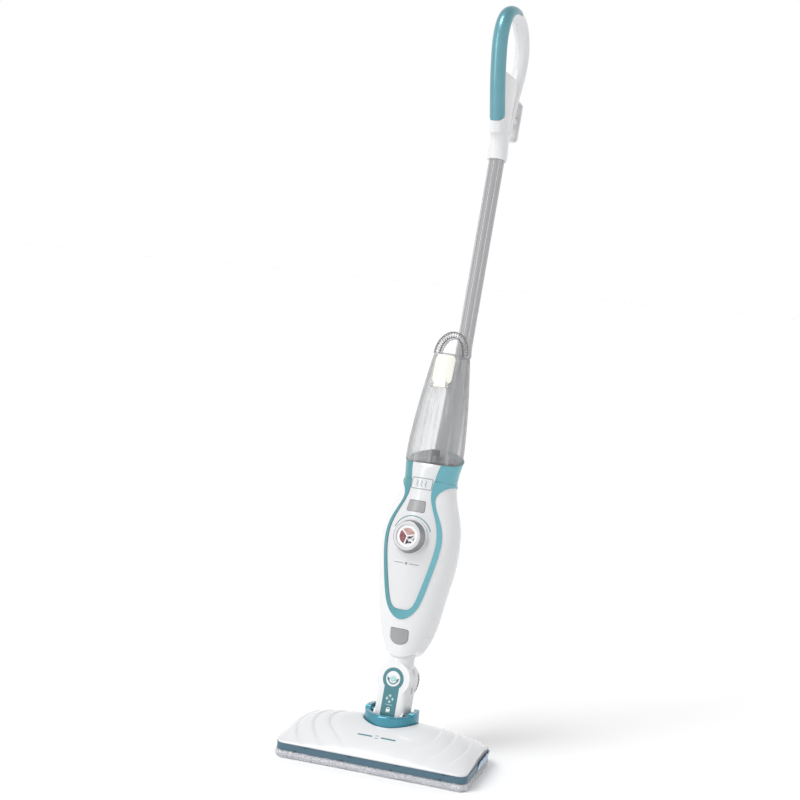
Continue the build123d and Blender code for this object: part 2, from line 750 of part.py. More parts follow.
def steam_button_bar(grow=0.0):
    tall = STEAM_BUTTON_TALL / 2 + grow
    top = STEAM_BUTTON_WIDTH / 2 - 2 + grow
    foot = STEAM_BUTTON_WIDTH / 2 + grow
    corners = [(-foot, -tall), (foot, -tall), (top, tall), (-top, tall)]
    face = make_face(Polyline(*corners, close=True))
    face = fillet(face.vertices(), 3.0)
    return through_front(Pos(0, STEAM_BUTTON_HEIGHT) * face)


def steam_button():
    return steam_button_bar() & (body_form(0.6) - body_form(0.6 - BUTTON_THICKNESS))


def release_outline(grow=0.0):
    """D-shape: straight top, round foot."""
    half = RELEASE_WIDTH / 2 + grow
    tall = RELEASE_TALL / 2 + grow
    top = RectangleRounded(2 * half, tall, 3.0)
    foot = Pos(0, -tall * 0.1) * Ellipse(half, tall * 0.9)
    lower = foot & (Pos(0, -tall / 2) * Rectangle(3 * half, tall))
    return Pos(0, RELEASE_HEIGHT) * (Pos(0, tall / 2) * top + lower + Rectangle(2 * half - 0.2, 5))


def release_button():
    bar = through_front(release_outline())
    return bar & (body_form(0.8) - body_form(0.8 - RELEASE_THICKNESS))


# Tank
@cache
def tank_form(grow=0.0):
    sections = [
        (1.05, 0.715, 0.70, -8.0), (1.165, 0.738, 0.61, -9.5), (1.25, 0.72, 0.6, -10.0),
        (1.35, 0.685, 0.585, -10.0), (1.45, 0.64, 0.565, -10.0), (1.57, 0.57, 0.535, -10.0),
        (1.66, 0.515, 0.51, -10.0),
    ]
    faces = []
    for share, wide, deep, y in sections:
        ellipse = Ellipse(wide * HOUSING_WIDTH / 2 + grow, deep * HOUSING_DEPTH / 2 + grow)
        faces.append(Pos(0, y, up(share)) * ellipse)
    top = Ellipse(0.455 * HOUSING_WIDTH / 2 + grow, 0.48 * HOUSING_DEPTH / 2 + grow)
    faces.append(Pos(0, -10, TANK_TOP) * top)
    return loft(faces)


def tank_shell():
    """Clear tank with a flat back, a filler hole and a carrying arch on top."""
    back = block((-200, 200), (-150, TANK_BACK), (0, 700))
    outer = tank_form() & back & seat_cutter(-SEAT_GAP)
    inner_back = block((-200, 200), (-150, TANK_BACK - TANK_WALL), (0, TANK_TOP - TANK_WALL))
    inner = tank_form(-TANK_WALL) & inner_back & seat_cutter(-SEAT_GAP - TANK_WALL)
    shell = outer - inner + tank_arch()
    shell += rod_z(VALVE_RADIUS + 4, SEAT_HEIGHT, SEAT_HEIGHT + 14, 0, -12) & seat_cutter(-SEAT_GAP)
    shell -= rod_z(VALVE_RADIUS, SEAT_HEIGHT - 10, SEAT_HEIGHT + 20, 0, -12)
    shell += hinge_lugs()
    shell -= rod_y(FILLER_RADIUS, 20, 0, cap_y(), filler_height())
    return shell - hinge_bore()


def arch_half():
    return 0.455 * HOUSING_WIDTH / 2 + 1.5


def tank_arch():
    """Carrying loop: a half-oval band across the tank's top."""
    outer = Ellipse(arch_half(), ARCH_RISE)
    inner = Ellipse(arch_half() - ARCH_BAND, ARCH_RISE - ARCH_BAND)
    half = Pos(0, 100) * Rectangle(200, 200)
    face = Pos(0, TANK_TOP) * ((outer - inner) & half)
    arch = Pos(0, -10 + ARCH_DEPTH / 2, 0) * through_front(face, ARCH_DEPTH)
    edges = arch.edges().filter_by(lambda e: e.length > 40)
    return fillet(edges, 2.5)


def cap_y():
    return -10 - 0.51 * HOUSING_DEPTH / 2


def filler_height():
    return CAP_BOTTOM + CAP_TALL * 0.58


def hinge_line():
    """Y and height of the filler cap's hinge pin, under the cap."""
    return (cap_y() - 4.8, CAP_BOTTOM - 1.0)


def hinge_lugs():
    y, z = hinge_line()
    lugs = [block((x - 2, x + 2), (y - 2.5, y + 7), (z - 2.5, z + 2.0)) for x in (-13, 13)]
    return (lugs[0] + lugs[1]) - tank_form(-TANK_WALL / 2)


def hinge_bore():
    y, z = hinge_line()
    return rod_x(HINGE_PIN_RADIUS, CAP_WIDTH + 2, 0, y, z)


def tank_cap():
    """Filler cap: a plate that follows the tank's front, with a plug and a hinge barrel."""
    y, z = hinge_line()
    face = Pos(0, CAP_BOTTOM + CAP_TALL / 2 + 2.5) * RectangleRounded(CAP_WIDTH, CAP_TALL - 3, CAP_CORNER)
    plate = through_front(face) & (tank_form(CAP_GAP + CAP_THICKNESS) - tank_form(CAP_GAP))
    barrel = rod_x(2.6, 20, 0, y, z)
    link = block((-9, 9), (y - 1.5, y + 1.5), (z, z + 9))
    cap = plate + link + barrel
    plug_y = cap_y() + PLUG_LENGTH / 2 - 2
    plug = rod_y(FILLER_RADIUS - PLUG_CLEARANCE, PLUG_LENGTH, 0, plug_y, filler_height())
    cap += plug
    cap -= tank_form(CAP_GAP) - rod_y(FILLER_RADIUS - PLUG_CLEARANCE, 60, 0, cap_y(), filler_height())
    return cap - rod_x(HINGE_PIN_RADIUS + 0.08, 60, 0, y, z)


def cap_pin():
    y, z = hinge_line()
    return rod_x(HINGE_PIN_RADIUS, 30, 0, y, z)


def tank_valve():
    body = rod_z(VALVE_RADIUS - 0.0, SEAT_HEIGHT + 6, SEAT_HEIGHT + 14 + VALVE_LENGTH, 0, -12)
    return body - rod_z(3, SEAT_HEIGHT, SEAT_HEIGHT + 12, 0, -12)


# Spine, pole and handle
@cache
def spine_form(grow=0.0):
    faces = []
    for share in (0.0, 0.4, 1.0):
        wide, deep = spine_half(share)
        z = HOUSING_TOP + share * (SPINE_TOP - HOUSING_TOP)
        faces.append(Pos(0, POLE_Y, z) * Ellipse(wide + grow, deep + grow))
    form = loft(faces)
    if grow > 0:
        form += Pos(0, POLE_Y, HOUSING_TOP - grow) * extrude(Ellipse(*spine_half(0)), amount=grow)
    return form - block((-60, 60), (-60, TANK_BACK + 0.6 - grow), (0, 700))


def spine():
    """Column behind the tank, bored for the pole."""
    column = spine_form()
    column -= rod_z(POLE_RADIUS, SOCKET_BOTTOM, SPINE_TOP + 1, 0, POLE_Y)
    column -= rod_z(POLE_RADIUS - 3, HOUSING_TOP - 5, SOCKET_BOTTOM + 1, 0, POLE_Y)
    return column - rod_y(CATCH_RADIUS + 0.3, 30, 0, POLE_Y + 18, CATCH_HEIGHT)


def pole():
    """Fluted tube from the spine's socket to the handle."""
    section = Circle(POLE_RADIUS)
    for i in range(POLE_FLUTES):
        angle = radians(360 * (i + 0.5) / POLE_FLUTES)
        reach = POLE_RADIUS + FLUTE_RADIUS - FLUTE_DEPTH
        section -= Pos(reach * cos(angle), reach * sin(angle)) * Circle(FLUTE_RADIUS)
    section -= Circle(POLE_RADIUS - POLE_WALL - FLUTE_DEPTH)
    tube = Pos(0, POLE_Y, SOCKET_BOTTOM) * extrude(section, amount=POLE_TOP - SOCKET_BOTTOM)
    return tube - rod_y(CATCH_RADIUS + 0.3, 30, 0, POLE_Y + 15, CATCH_HEIGHT)


def pole_catch():
    """Sprung button that locks the pole in the spine."""
    rear = POLE_Y + POLE_RADIUS + SPINE_WALL + 1.5
    return rod_y(CATCH_RADIUS, 8, 0, rear - 4, CATCH_HEIGHT)


def catch_spring():
    front = POLE_Y - 4
    rear = POLE_Y + POLE_RADIUS + SPINE_WALL + 1.5 - 8 - BUTTON_TRAVEL - 0.5
    return block((-3, 3), (front, rear), (CATCH_HEIGHT - 8, CATCH_HEIGHT + 8)) - block(
        (-4, 4), (front + 1, rear - 1), (CATCH_HEIGHT - 7, CATCH_HEIGHT + 7)
    )


def handle_path():
    """Centre line of the handle's loop, from the grip's foot over the top to the rear arm's foot."""
    base = HANDLE_BOTTOM
    points = [
        (14, 41), (4, 66), (-15, 106), (-31, 149), (-38, 186), (-29, 216), (-2, 231),
        (33, 225), (57, 198), (63, 164), (56, 128), (48, 91), (40, 51),
    ]
    return Plane.YZ * Spline([(y, base + rise) for y, rise in points])


@cache
def along_handle(radius):
    path = handle_path()
    frame = Plane(origin=path @ 0, x_dir=(1, 0, 0), z_dir=path % 0)
    return sweep(frame * (Rot(0, 0, 45) * Circle(radius)), path=path)


@cache
def handle_body(shrink=0.0):
    base = HANDLE_BOTTOM
    sections = [
        (0, HANDLE_COLLAR, HANDLE_COLLAR, POLE_Y), (36, 15.0, 20.0, POLE_Y - 5),
        (70, 13.4, 27.0, POLE_Y - 11.5), (106, 12.4, 39.0, POLE_Y - 14), (133, 11.0, 46.0, POLE_Y - 15),
    ]
    if shrink:
        sections = sections[1:]
    faces = [
        Pos(0, y, base + rise - shrink) * Ellipse(wide - shrink, deep - shrink)
        for rise, wide, deep, y in sections
    ]
    return loft(faces)


@cache
def grip_zone(grow=0.0):
    """Space of the grip insert: ahead of the loop's centre line, from its foot to over the top."""
    path = handle_path()
    first = 0.045 - grow * 0.001
    last = 0.515 + grow * 0.001
    steps = 16
    inner = []
    outer = []
    for i in range(steps + 1):
        share = first + (last - first) * i / steps
        point = path @ share
        ahead = Vector(1, 0, 0).cross(path % share)
        inner.append((point.Y - ahead.Y * grow, point.Z - ahead.Z * grow))
        outer.append((point.Y + ahead.Y * 24, point.Z + ahead.Z * 24))
    near = Spline(inner)
    far = Spline(outer)
    face = make_face(near + Line(near @ 1, far @ 1) + far + Line(far @ 0, near @ 0))
    zone = side_slab(face, 30)
    foot = GRIP_BOTTOM - grow + HANDLE_TUBE
    mask = Pos(0, foot + 150) * Rectangle(80, 300) + Pos(0, foot) * Circle(HANDLE_TUBE + grow)
    return zone & extrude(Plane.XZ * mask, amount=200, both=True)


def grip_insert():
    skin = along_handle(HANDLE_TUBE + GRIP_RISE) - along_handle(HANDLE_TUBE + GRIP_RISE - GRIP_THICKNESS)
    return skin & grip_zone()


@cache
def handle_solid():
    body = handle_body() + along_handle(HANDLE_TUBE)
    core = HANDLE_TUBE + GRIP_RISE - GRIP_THICKNESS - SEAM
    body -= grip_zone(GRIP_GAP) - along_handle(core)
    body -= along_handle(HANDLE_TUBE - HANDLE_WALL - 1.4)
    body -= handle_body(HANDLE_WALL + 0.6) - grip_zone(GRIP_GAP + HANDLE_WALL)
    for y, z in handle_screw_places():
        body += rod_x(BOSS_RADIUS, 2 * HANDLE_TUBE - 6, 0, y, z)
    body -= rod_z(POLE_RADIUS, HANDLE_BOTTOM - 1, POLE_TOP + 1, 0, POLE_Y)
    return body - hook_axle_bore()


def handle_left():
    return handle_solid() & block((SEAM / 2, 60), (-100, 150), (800, 1300))


def handle_right():
    half = handle_solid() & block((-60, -SEAM / 2), (-100, 150), (800, 1300))
    for screw in handle_screws():
        half -= screw
    return half


def handle_screw_places():
    """Screws across the handle, as Y and height."""
    places = [(POLE_Y - 12, 84), (POLE_Y + 12, 112), (62.0, 164)]
    return [(y, HANDLE_BOTTOM + rise) for y, rise in places]


def handle_screws():
    """Screws driven across the handle from its right side."""
    screws = []
    for y, z in handle_screw_places():
        head = rod_x(SCREW_HEAD_RADIUS, SCREW_HEAD_HEIGHT, -8.0, y, z)
        screws.append(head + rod_x(SCREW_RADIUS, 6.4, -8.0 + 1.1 + 3.2, y, z))
    return screws


def hook_base_y():
    """Rear face of the handle where the cord hook turns."""
    return POLE_Y + 21.0


def hook_axle_bore():
    return rod_y(3.0, 24, 0, hook_base_y() - 6, HOOK_HEIGHT)


def hook_boss():
    """Fixed foot of the upper cord hook."""
    boss = rod_y(HOOK_BOSS, 6, 0, hook_base_y() + 2, HOOK_HEIGHT) - handle_body() - along_handle(HANDLE_TUBE)
    bore = rod_y(3.0 + AXLE_CLEARANCE, 60, 0, hook_base_y(), HOOK_HEIGHT)
    return boss - bore


def upper_hook():
    """Swivelling cord hook: a bar across a post, with a lip at each end."""
    foot = hook_base_y() + 5 + 0.3
    face = foot + HOOK_STAND_OFF
    hook = block((-HOOK_WIDTH / 2, HOOK_WIDTH / 2), (face, face + HOOK_THICKNESS), hook_span())
    hook = fillet(hook.edges().filter_by(Axis.Y), 6.0)
    for end in (-1, 1):
        z = HOOK_HEIGHT + end * (HOOK_HALF_LENGTH - 2)
        lip = block((-HOOK_WIDTH / 2 + 3, HOOK_WIDTH / 2 - 3), (face - HOOK_LIP, face + 1), (z - 2, z + 2))
        hook += lip
    hook += rod_y(HOOK_BOSS - 1, HOOK_STAND_OFF + 1, 0, foot + (HOOK_STAND_OFF + 1) / 2, HOOK_HEIGHT)
    return hook + rod_y(3.0 - 0.04, 14, 0, foot - 7, HOOK_HEIGHT)


def hook_span():
    return (HOOK_HEIGHT - HOOK_HALF_LENGTH, HOOK_HEIGHT + HOOK_HALF_LENGTH)


def lower_hook():
    """Fixed cord hook on the spine, opening downwards."""
    rear = POLE_Y + spine_half(0.2)[1]
    z = LOWER_HOOK_HEIGHT
    post = block((-8, 8), (rear - 4, rear + HOOK_STAND_OFF), (z - 6, z + 6)) - spine_form()
    arm = block((-9, 9), (rear + HOOK_STAND_OFF - 1, rear + HOOK_STAND_OFF + 4), (z - 30, z + 6))
    return post + fillet(arm.edges().filter_by(Axis.Y), 4.0)


# Cord outlet and inner parts
def gland_y():
    return HOUSING_DEPTH / 2 - 2.0


def cord_gland():
    outlet = rod_y(GLAND_RADIUS, GLAND_LENGTH, 0, gland_y() + GLAND_LENGTH / 2, GLAND_HEIGHT)
    outlet = chamfer(outlet.edges().group_by(Axis.Y)[-1], 2.5)
    outlet -= body_form()
    outlet += rod_y(GLAND_RADIUS - 2 - SEAM, 12, 0, gland_y() - 3, GLAND_HEIGHT)
    return outlet - rod_y(GLAND_BORE, 80, 0, gland_y(), GLAND_HEIGHT)


def inner_frame():
    """Board fixed behind the working parts, standing on four posts of the rear shell."""
    board = block((-30, 30), (20, 23), (up(0.2), up(0.93)))
    for x in (-22, 22):
        for z in (up(0.3), up(0.72)):
            board += rod_y(3.5, 30, x, 37, z) & housing_inner()
    return board & body_form(-HOUSING_WALL - 1)


def boiler():
    tank = rod_z(24, up(0.26), up(0.5), 0, -5)
    tank = fillet(tank.edges().filter_by(GeomType.CIRCLE), 5)
    tank += block((-18, 18), (10, 20), (up(0.3), up(0.46)))
    return tank - rod_z(HOSE_RADIUS, up(0.2), up(0.3))


def thermostat():
    return rod_y(9, 6, 0, -5 - 24 - 3 + 0.6, up(0.38)) - rod_z(24, up(0.2), up(0.6), 0, -5)


def pump():
    body = rod_z(14, up(0.56), up(0.78), 0, 5)
    return body + block((-12, 12), (5, 20), (up(0.6), up(0.74)))


def circuit_board():
    return block((-26, 26), (-22, -20.4), (up(0.54), up(0.86)))


def rotary_switch():
    front = front_y() + HOUSING_WALL + 3.0
    body = block((-9, 9), (front, -22), (DIAL_HEIGHT - 9, DIAL_HEIGHT + 9))
    return body - rod_y(SHAFT_RADIUS + 0.4, 30, 0, front, DIAL_HEIGHT)


def steam_hose():
    hose = rod_z(HOSE_RADIUS, 14, up(0.3))
    return hose - rod_z(HOSE_RADIUS - 1.5, 10, up(0.4))


def feed_hose():
    hose = rod_z(3.5, up(0.5), up(0.56), 0, 5)
    return hose - rod_z(2.0, up(0.4), up(0.6), 0, 5)


def tank_inlet():
    """Tube from the tank's seat down to the pump."""
    tube = rod_z(VALVE_RADIUS + 1, SEAT_HEIGHT - 8, SEAT_HEIGHT - 2, 0, -12)
    tube += rod_z(3.5, up(0.8), SEAT_HEIGHT - 6, 0, -12)
    tube += block((-3.5, 3.5), (-14, 7), (up(0.78), up(0.8) + 2))
    return tube


PIECES = {
    "head": (Location(), [
        mop_pad, pad_cuffs, base_plate, hook_strips, head_screws, steam_manifold, head_cover,
    ]),
    "ring": (RING_PLACE, [swivel_ring, tilt_axles, hub_retainer]),
    "body": (BODY_PLACE, [
        neck_front, neck_rear, neck_inlay, neck_badge, neck_screws, detent_cheeks,
        housing_front, housing_rear, housing_screws, front_panel, trim_band, badge_frame,
        tank_collar, tank_seat, dial_bezel, dial_face, steam_button, release_button,
        tank_shell, tank_cap, cap_pin, tank_valve, spine, pole, pole_catch, catch_spring,
        handle_left, handle_right, handle_screws, grip_insert, hook_boss, upper_hook, lower_hook,
        cord_gland, inner_frame, boiler, thermostat, pump, circuit_board, rotary_switch,
        steam_hose, feed_hose, tank_inlet,
    ]),
}
SECTOR_NAMES = ("sector_wood", "sector_tile", "sector_stone")


def save(name, shape, place):
    solids = shape if isinstance(shape, list) else [shape]
    placed = [place * solid for solid in solids]
    part = placed[0] if len(placed) == 1 else Compound(children=placed)
    export_step(part, f"parts/{name}.step")


def main():
    for place, makers in PIECES.values():
        for maker in makers:
            save(maker.__name__, maker(), place)
    for name, sector in zip(SECTOR_NAMES, dial_sectors()):
        save(name, sector, BODY_PLACE)


main()
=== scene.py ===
import bpy
import bmesh
import json
from math import atan2, cos, hypot, pi, radians, sin
from mathutils import Matrix, Vector
from mathutils.bvhtree import BVHTree


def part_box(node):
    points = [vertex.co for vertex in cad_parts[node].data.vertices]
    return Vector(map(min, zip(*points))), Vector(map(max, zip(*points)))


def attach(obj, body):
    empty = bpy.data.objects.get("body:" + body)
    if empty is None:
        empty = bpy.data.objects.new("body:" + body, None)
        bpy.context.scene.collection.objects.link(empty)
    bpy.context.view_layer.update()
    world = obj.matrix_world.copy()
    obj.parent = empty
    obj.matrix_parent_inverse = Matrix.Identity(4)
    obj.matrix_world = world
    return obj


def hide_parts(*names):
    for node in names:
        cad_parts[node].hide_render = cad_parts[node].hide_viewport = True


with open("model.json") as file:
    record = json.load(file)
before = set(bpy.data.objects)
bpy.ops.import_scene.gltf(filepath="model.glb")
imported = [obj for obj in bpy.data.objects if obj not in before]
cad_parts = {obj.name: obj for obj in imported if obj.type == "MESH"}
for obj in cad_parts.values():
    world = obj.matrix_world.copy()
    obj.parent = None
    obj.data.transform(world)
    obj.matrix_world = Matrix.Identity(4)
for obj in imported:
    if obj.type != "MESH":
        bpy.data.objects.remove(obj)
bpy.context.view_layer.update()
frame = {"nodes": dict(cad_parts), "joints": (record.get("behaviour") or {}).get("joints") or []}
nodes = frame["nodes"]
print("frame loaded:", len(nodes), "nodes")

mm = 0.001

# the leaning body's own axes, from two of its joints
jointBy = {joint["name"]: joint for joint in frame["joints"]}
axlePoint = Vector(jointBy["mop_tilt"]["pos_m"])
bodyX = -Vector(jointBy["mop_tilt"]["axis"]).normalized()
bodyZ = Vector(jointBy["tank_lift"]["axis"]).normalized()
bodyY = bodyZ.cross(bodyX).normalized()
bodyPlace = Matrix.Translation(axlePoint) @ Matrix((bodyX, bodyY, bodyZ)).transposed().to_4x4()


def bodyPoint(x, y, z):
    # millimetres along the body's own axes, to metres in the shared frame
    return bodyPlace @ Vector((x * mm, y * mm, z * mm))


# helpers for objects and modifiers
def addObject(name, data):
    item = bpy.data.objects.new(name, data)
    bpy.context.scene.collection.objects.link(item)
    return item


def shadeFaces(item, smooth=True):
    for face in item.data.polygons:
        face.use_smooth = smooth


def thicken(item, name, thickness, offset):
    wall = item.modifiers.new(name, "SOLIDIFY")
    wall.thickness = thickness * mm
    wall.offset = offset


def soften(item, name):
    rounding = item.modifiers.new(name, "SUBSURF")
    rounding.levels = rounding.render_levels = 1


def planBox(box):
    # a box's front, rear, half width and foot, in millimetres
    low, high = box
    return low[1] / mm, high[1] / mm, high[0] / mm, low[2] / mm


# camera, floor and lights
camera = {
    "aim": (0.1388, -0.5200, 0.6020), "distance": 1.925, "azimuth": 18.22,
    "elevation": 5.46, "roll": 5.13, "lens": 73.73, "sensor": 36.0,
}


def makeCamera():
    az, el, roll = (radians(camera[key]) for key in ("azimuth", "elevation", "roll"))
    back = Vector((sin(az) * cos(el), -cos(az) * cos(el), sin(el)))
    flatRight = Vector((cos(az), sin(az), 0))
    flatUp = back.cross(flatRight)
    right = flatRight * cos(roll) + flatUp * sin(roll)
    up = flatUp * cos(roll) - flatRight * sin(roll)
    data = bpy.data.cameras.new("mopCamera")
    data.lens = camera["lens"]
    data.sensor_width = camera["sensor"]
    item = addObject("mopCamera", data)
    place = Matrix((right, up, back)).transposed().to_4x4()
    place.translation = Vector(camera["aim"]) + back * camera["distance"]
    item.matrix_world = place
    bpy.context.scene.camera = item


studio = {
    "floorSize": 60.0, "horizon": 1.0, "zenith": 0.42, "sunPower": 1.5, "sunAngle": 28,
    "sunFrom": (-0.7, -0.9, 1.7), "boxAt": (-1.5, -2.1, 1.35), "boxAim": (0.05, 0.1, 0.55),
    "boxSize": (0.5, 1.9), "boxPower": 14, "bandTop": 0.25, "zenithBlue": 1.02,
}


def makeStudio():
    scene = bpy.context.scene
    scene.view_settings.view_transform = "Standard"
    world = bpy.data.worlds.new("softRoom")
    world.use_nodes = True
    sky = world.node_tree.nodes["Background"]
    ramp = world.node_tree.nodes.new("ShaderNodeValToRGB")
    low, high = studio["horizon"], studio["zenith"]
    ramp.color_ramp.elements[0].color = (low, low, low, 1)
    ramp.color_ramp.elements[1].color = (high, high, high * studio["zenithBlue"], 1)
    ramp.color_ramp.elements[0].position = studio["bandTop"]
    coords = world.node_tree.nodes.new("ShaderNodeTexCoord")
    apart = world.node_tree.nodes.new("ShaderNodeSeparateXYZ")
    links = world.node_tree.links
    links.new(coords.outputs["Generated"], apart.inputs[0])
    links.new(apart.outputs["Z"], ramp.inputs[0])
    links.new(ramp.outputs[0], sky.inputs["Color"])
    scene.world = world
    sun = bpy.data.lights.new("ceilingSun", "SUN")
    sun.energy = studio["sunPower"]
    sun.angle = radians(studio["sunAngle"])
    aimLight(sun, Vector(studio["sunFrom"]), Vector((0, 0, 0)))
    box = bpy.data.lights.new("softBox", "AREA")
    box.shape = "RECTANGLE"
    box.size, box.size_y = studio["boxSize"]
    box.energy = studio["boxPower"]
    aimLight(box, Vector(studio["boxAt"]), Vector(studio["boxAim"]))
    half = studio["floorSize"] / 2
    corners = [(-half, -half, 0), (half, -half, 0), (half, half, 0), (-half, half, 0)]
    floor = meshObject("floor", corners, [(0, 1, 2, 3)], False)
    floor.data.materials.append(floorFinish())


def aimLight(data, place, target):
    item = addObject(data.name, data)
    item.location = place
    item.rotation_euler = (target - place).to_track_quat("-Z", "Y").to_euler()


# mesh helpers
def meshObject(name, points, faces, smooth=True):
    mesh = bpy.data.meshes.new(name)
    mesh.from_pydata([tuple(point) for point in points], [], faces)
    mesh.update()
    item = addObject(name, mesh)
    shadeFaces(item, smooth)
    return item


def tidyNormals(item, merge=1e-6):
    work = bmesh.new()
    work.from_mesh(item.data)
    bmesh.ops.remove_doubles(work, verts=work.verts, dist=merge)
    bmesh.ops.recalc_face_normals(work, faces=work.faces)
    work.to_mesh(item.data)
    work.free()


def bakeModifiers(item):
    # turns a piece and its modifiers into one plain mesh
    depsgraph = bpy.context.evaluated_depsgraph_get()
    mesh = bpy.data.meshes.new_from_object(item.evaluated_get(depsgraph))
    item.modifiers.clear()
    item.data = mesh
    return item


def finishPiece(item, body, material, replaced=()):
    if not item.data.materials:
        item.data.materials.append(material)
    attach(item, body)
    if replaced:
        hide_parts(*replaced)
    return item


# shader maths: a socket that takes part in plain expressions
class Wire:
    def __init__(self, tree, socket):
        self.tree = tree
        self.socket = socket

    def maths(self, operation, other=None, flip=False):
        values = [self, other] if not flip else [other, self]
        inputs = {i: value for i, value in enumerate(values) if value is not None}
        return self.tree.add("ShaderNodeMath", {"operation": operation}, inputs).out()

    def __add__(self, other):
        return self.maths("ADD", other)

    def __radd__(self, other):
        return self.maths("ADD", other, True)

    def __sub__(self, other):
        return self.maths("SUBTRACT", other)

    def __rsub__(self, other):
        return self.maths("SUBTRACT", other, True)

    def __mul__(self, other):
        return self.maths("MULTIPLY", other)

    def __rmul__(self, other):
        return self.maths("MULTIPLY", other, True)

    def __gt__(self, other):
        return self.maths("GREATER_THAN", other)


class Placed:
    def __init__(self, tree, node):
        self.tree = tree
        self.node = node

    def out(self, name=0):
        return Wire(self.tree, self.node.outputs[name])


class Finish:
    # a material with its Principled shader, and one method that adds any other node
    def __init__(self, name, base, **constants):
        self.material = bpy.data.materials.new(name)
        self.material.use_nodes = True
        self.nodes = self.material.node_tree.nodes
        self.links = self.material.node_tree.links
        self.shader = self.nodes["Principled BSDF"]
        self.base = base
        self.set("Base Color", (*base, 1))
        for key, value in constants.items():
            self.set(key.replace("_", " "), value)
        self.place = self.add("ShaderNodeTexCoord").out("Object")

    def set(self, name, value):
        socket = self.shader.inputs[name]
        if isinstance(value, Wire):
            self.links.new(value.socket, socket)
        else:
            socket.default_value = value

    def add(self, kind, settings=None, inputs=None):
        node = self.nodes.new(kind)
        for key, value in (settings or {}).items():
            if key == "stops":
                self.fillRamp(node.color_ramp, value)
            else:
                setattr(node, key, value)
        for key, value in (inputs or {}).items():
            if isinstance(value, Wire):
                self.links.new(value.socket, node.inputs[key])
            else:
                node.inputs[key].default_value = value
        return Placed(self, node)

    def fillRamp(self, ramp, stops):
        while len(ramp.elements) < len(stops):
            ramp.elements.new(0.5)
        for element, (place, colour) in zip(ramp.elements, stops):
            element.position = place
            element.color = (*colour, 1)

    def noise(self, scale, detail=2.0, rough=0.5, vector=None):
        inputs = {"Vector": vector or self.place, "Scale": scale, "Detail": detail, "Roughness": rough}
        return self.add("ShaderNodeTexNoise", {}, inputs).out(0)

    def cells(self, scale, **settings):
        return self.add("ShaderNodeTexVoronoi", settings, {"Vector": self.place, "Scale": scale})

    def stretch(self, scale):
        return self.add("ShaderNodeMapping", {}, {"Vector": self.place, "Scale": scale}).out()

    def turned(self, scale):
        # stretched along the leaning body's own axis
        turn = bodyPlace.to_3x3().inverted().to_euler()
        place = self.add("ShaderNodeMapping", {}, {"Vector": self.place, "Rotation": tuple(turn)}).out()
        return self.add("ShaderNodeMapping", {}, {"Vector": place, "Scale": scale}).out()

    def blend(self, factor, first, second):
        # mixes two colours; either may be a Wire
        four = [value if isinstance(value, Wire) else (*value, 1) for value in (first, second)]
        inputs = {0: factor, 6: four[0], 7: four[1]}
        return self.add("ShaderNodeMix", {"data_type": "RGBA"}, inputs).out(2)

    def bump(self, height, strength, distance):
        inputs = {"Height": height, "Strength": strength, "Distance": distance}
        self.set("Normal", self.add("ShaderNodeBump", {}, inputs).out())


def shade(colour, factor):
    return tuple(min(1.0, channel * factor) for channel in colour)


def moulded(name, colour, rough=0.3, coat=0.0, grain=900.0, depth=0.00004, vary=0.05, **extra):
    # injection-moulded plastic: faint flow marks in the colour, uneven polish and a fine skin
    finish = Finish(name, colour, Coat_Roughness=0.08, **extra)
    flow = finish.noise(14.0, 3.0)
    skin = finish.noise(grain, 2.0)
    finish.set("Base Color", finish.blend(flow, shade(colour, 1 - vary), shade(colour, 1 + vary)))
    finish.set("Roughness", rough - 0.04 + flow * 0.08 + skin * 0.03)
    finish.set("Coat Weight", coat)
    finish.bump(skin, 0.25, depth)
    return finish.material


def floorFinish():
    finish = Finish("paleFloor", (0.93, 0.93, 0.93), Roughness=0.65)
    finish.set("Base Color", finish.blend(finish.noise(3.0), (0.95, 0.95, 0.95), (0.97, 0.97, 0.97)))
    return finish.material


def pearlPlastic(name, colour, light, metal=0.35, rough=0.24, across=0.0):
    # coloured plastic with fine mica flakes under a clear coat
    # across paints light on it: a lighter teal towards the body's right side, painted light
    finish = Finish(name, colour, Coat_Weight=0.6, Coat_Roughness=0.06)
    flakes = finish.cells(2600.0).out("Distance")
    cloud = finish.noise(40.0, 3.0)
    mica = finish.blend(flakes * 0.5 + cloud * 0.5, colour, light)
    if across:
        side = finish.add("ShaderNodeSeparateXYZ", {}, {0: finish.turned((1.0, 1.0, 1.0))}).out("X")
        span = {"Value": side, 1: -0.03, 2: 0.045, 3: 0.0, 4: across}
        lift = finish.add("ShaderNodeMapRange", {}, span).out()
        # painted light: lift mixes the trim towards this lighter teal on the body's right side
        mica = finish.blend(lift, mica, (0.22, 0.56, 0.66))
    finish.set("Base Color", mica)
    finish.set("Metallic", metal * (0.7 + cloud * 0.5))
    finish.set("Roughness", rough + flakes * 0.1)
    finish.bump(flakes, 0.1, 0.00003)
    return finish.material


def drawnMetal(name, colour, along, rough=0.3):
    # satin tube: fine lines along its length
    finish = Finish(name, colour, Metallic=1.0)
    lines = finish.noise(1.0, 4.0, 0.7, finish.turned(along))
    finish.set("Base Color", finish.blend(lines, shade(colour, 0.88), shade(colour, 1.08)))
    finish.set("Roughness", rough - 0.08 + lines * 0.16)
    finish.bump(lines, 0.15, 0.00005)
    return finish.material


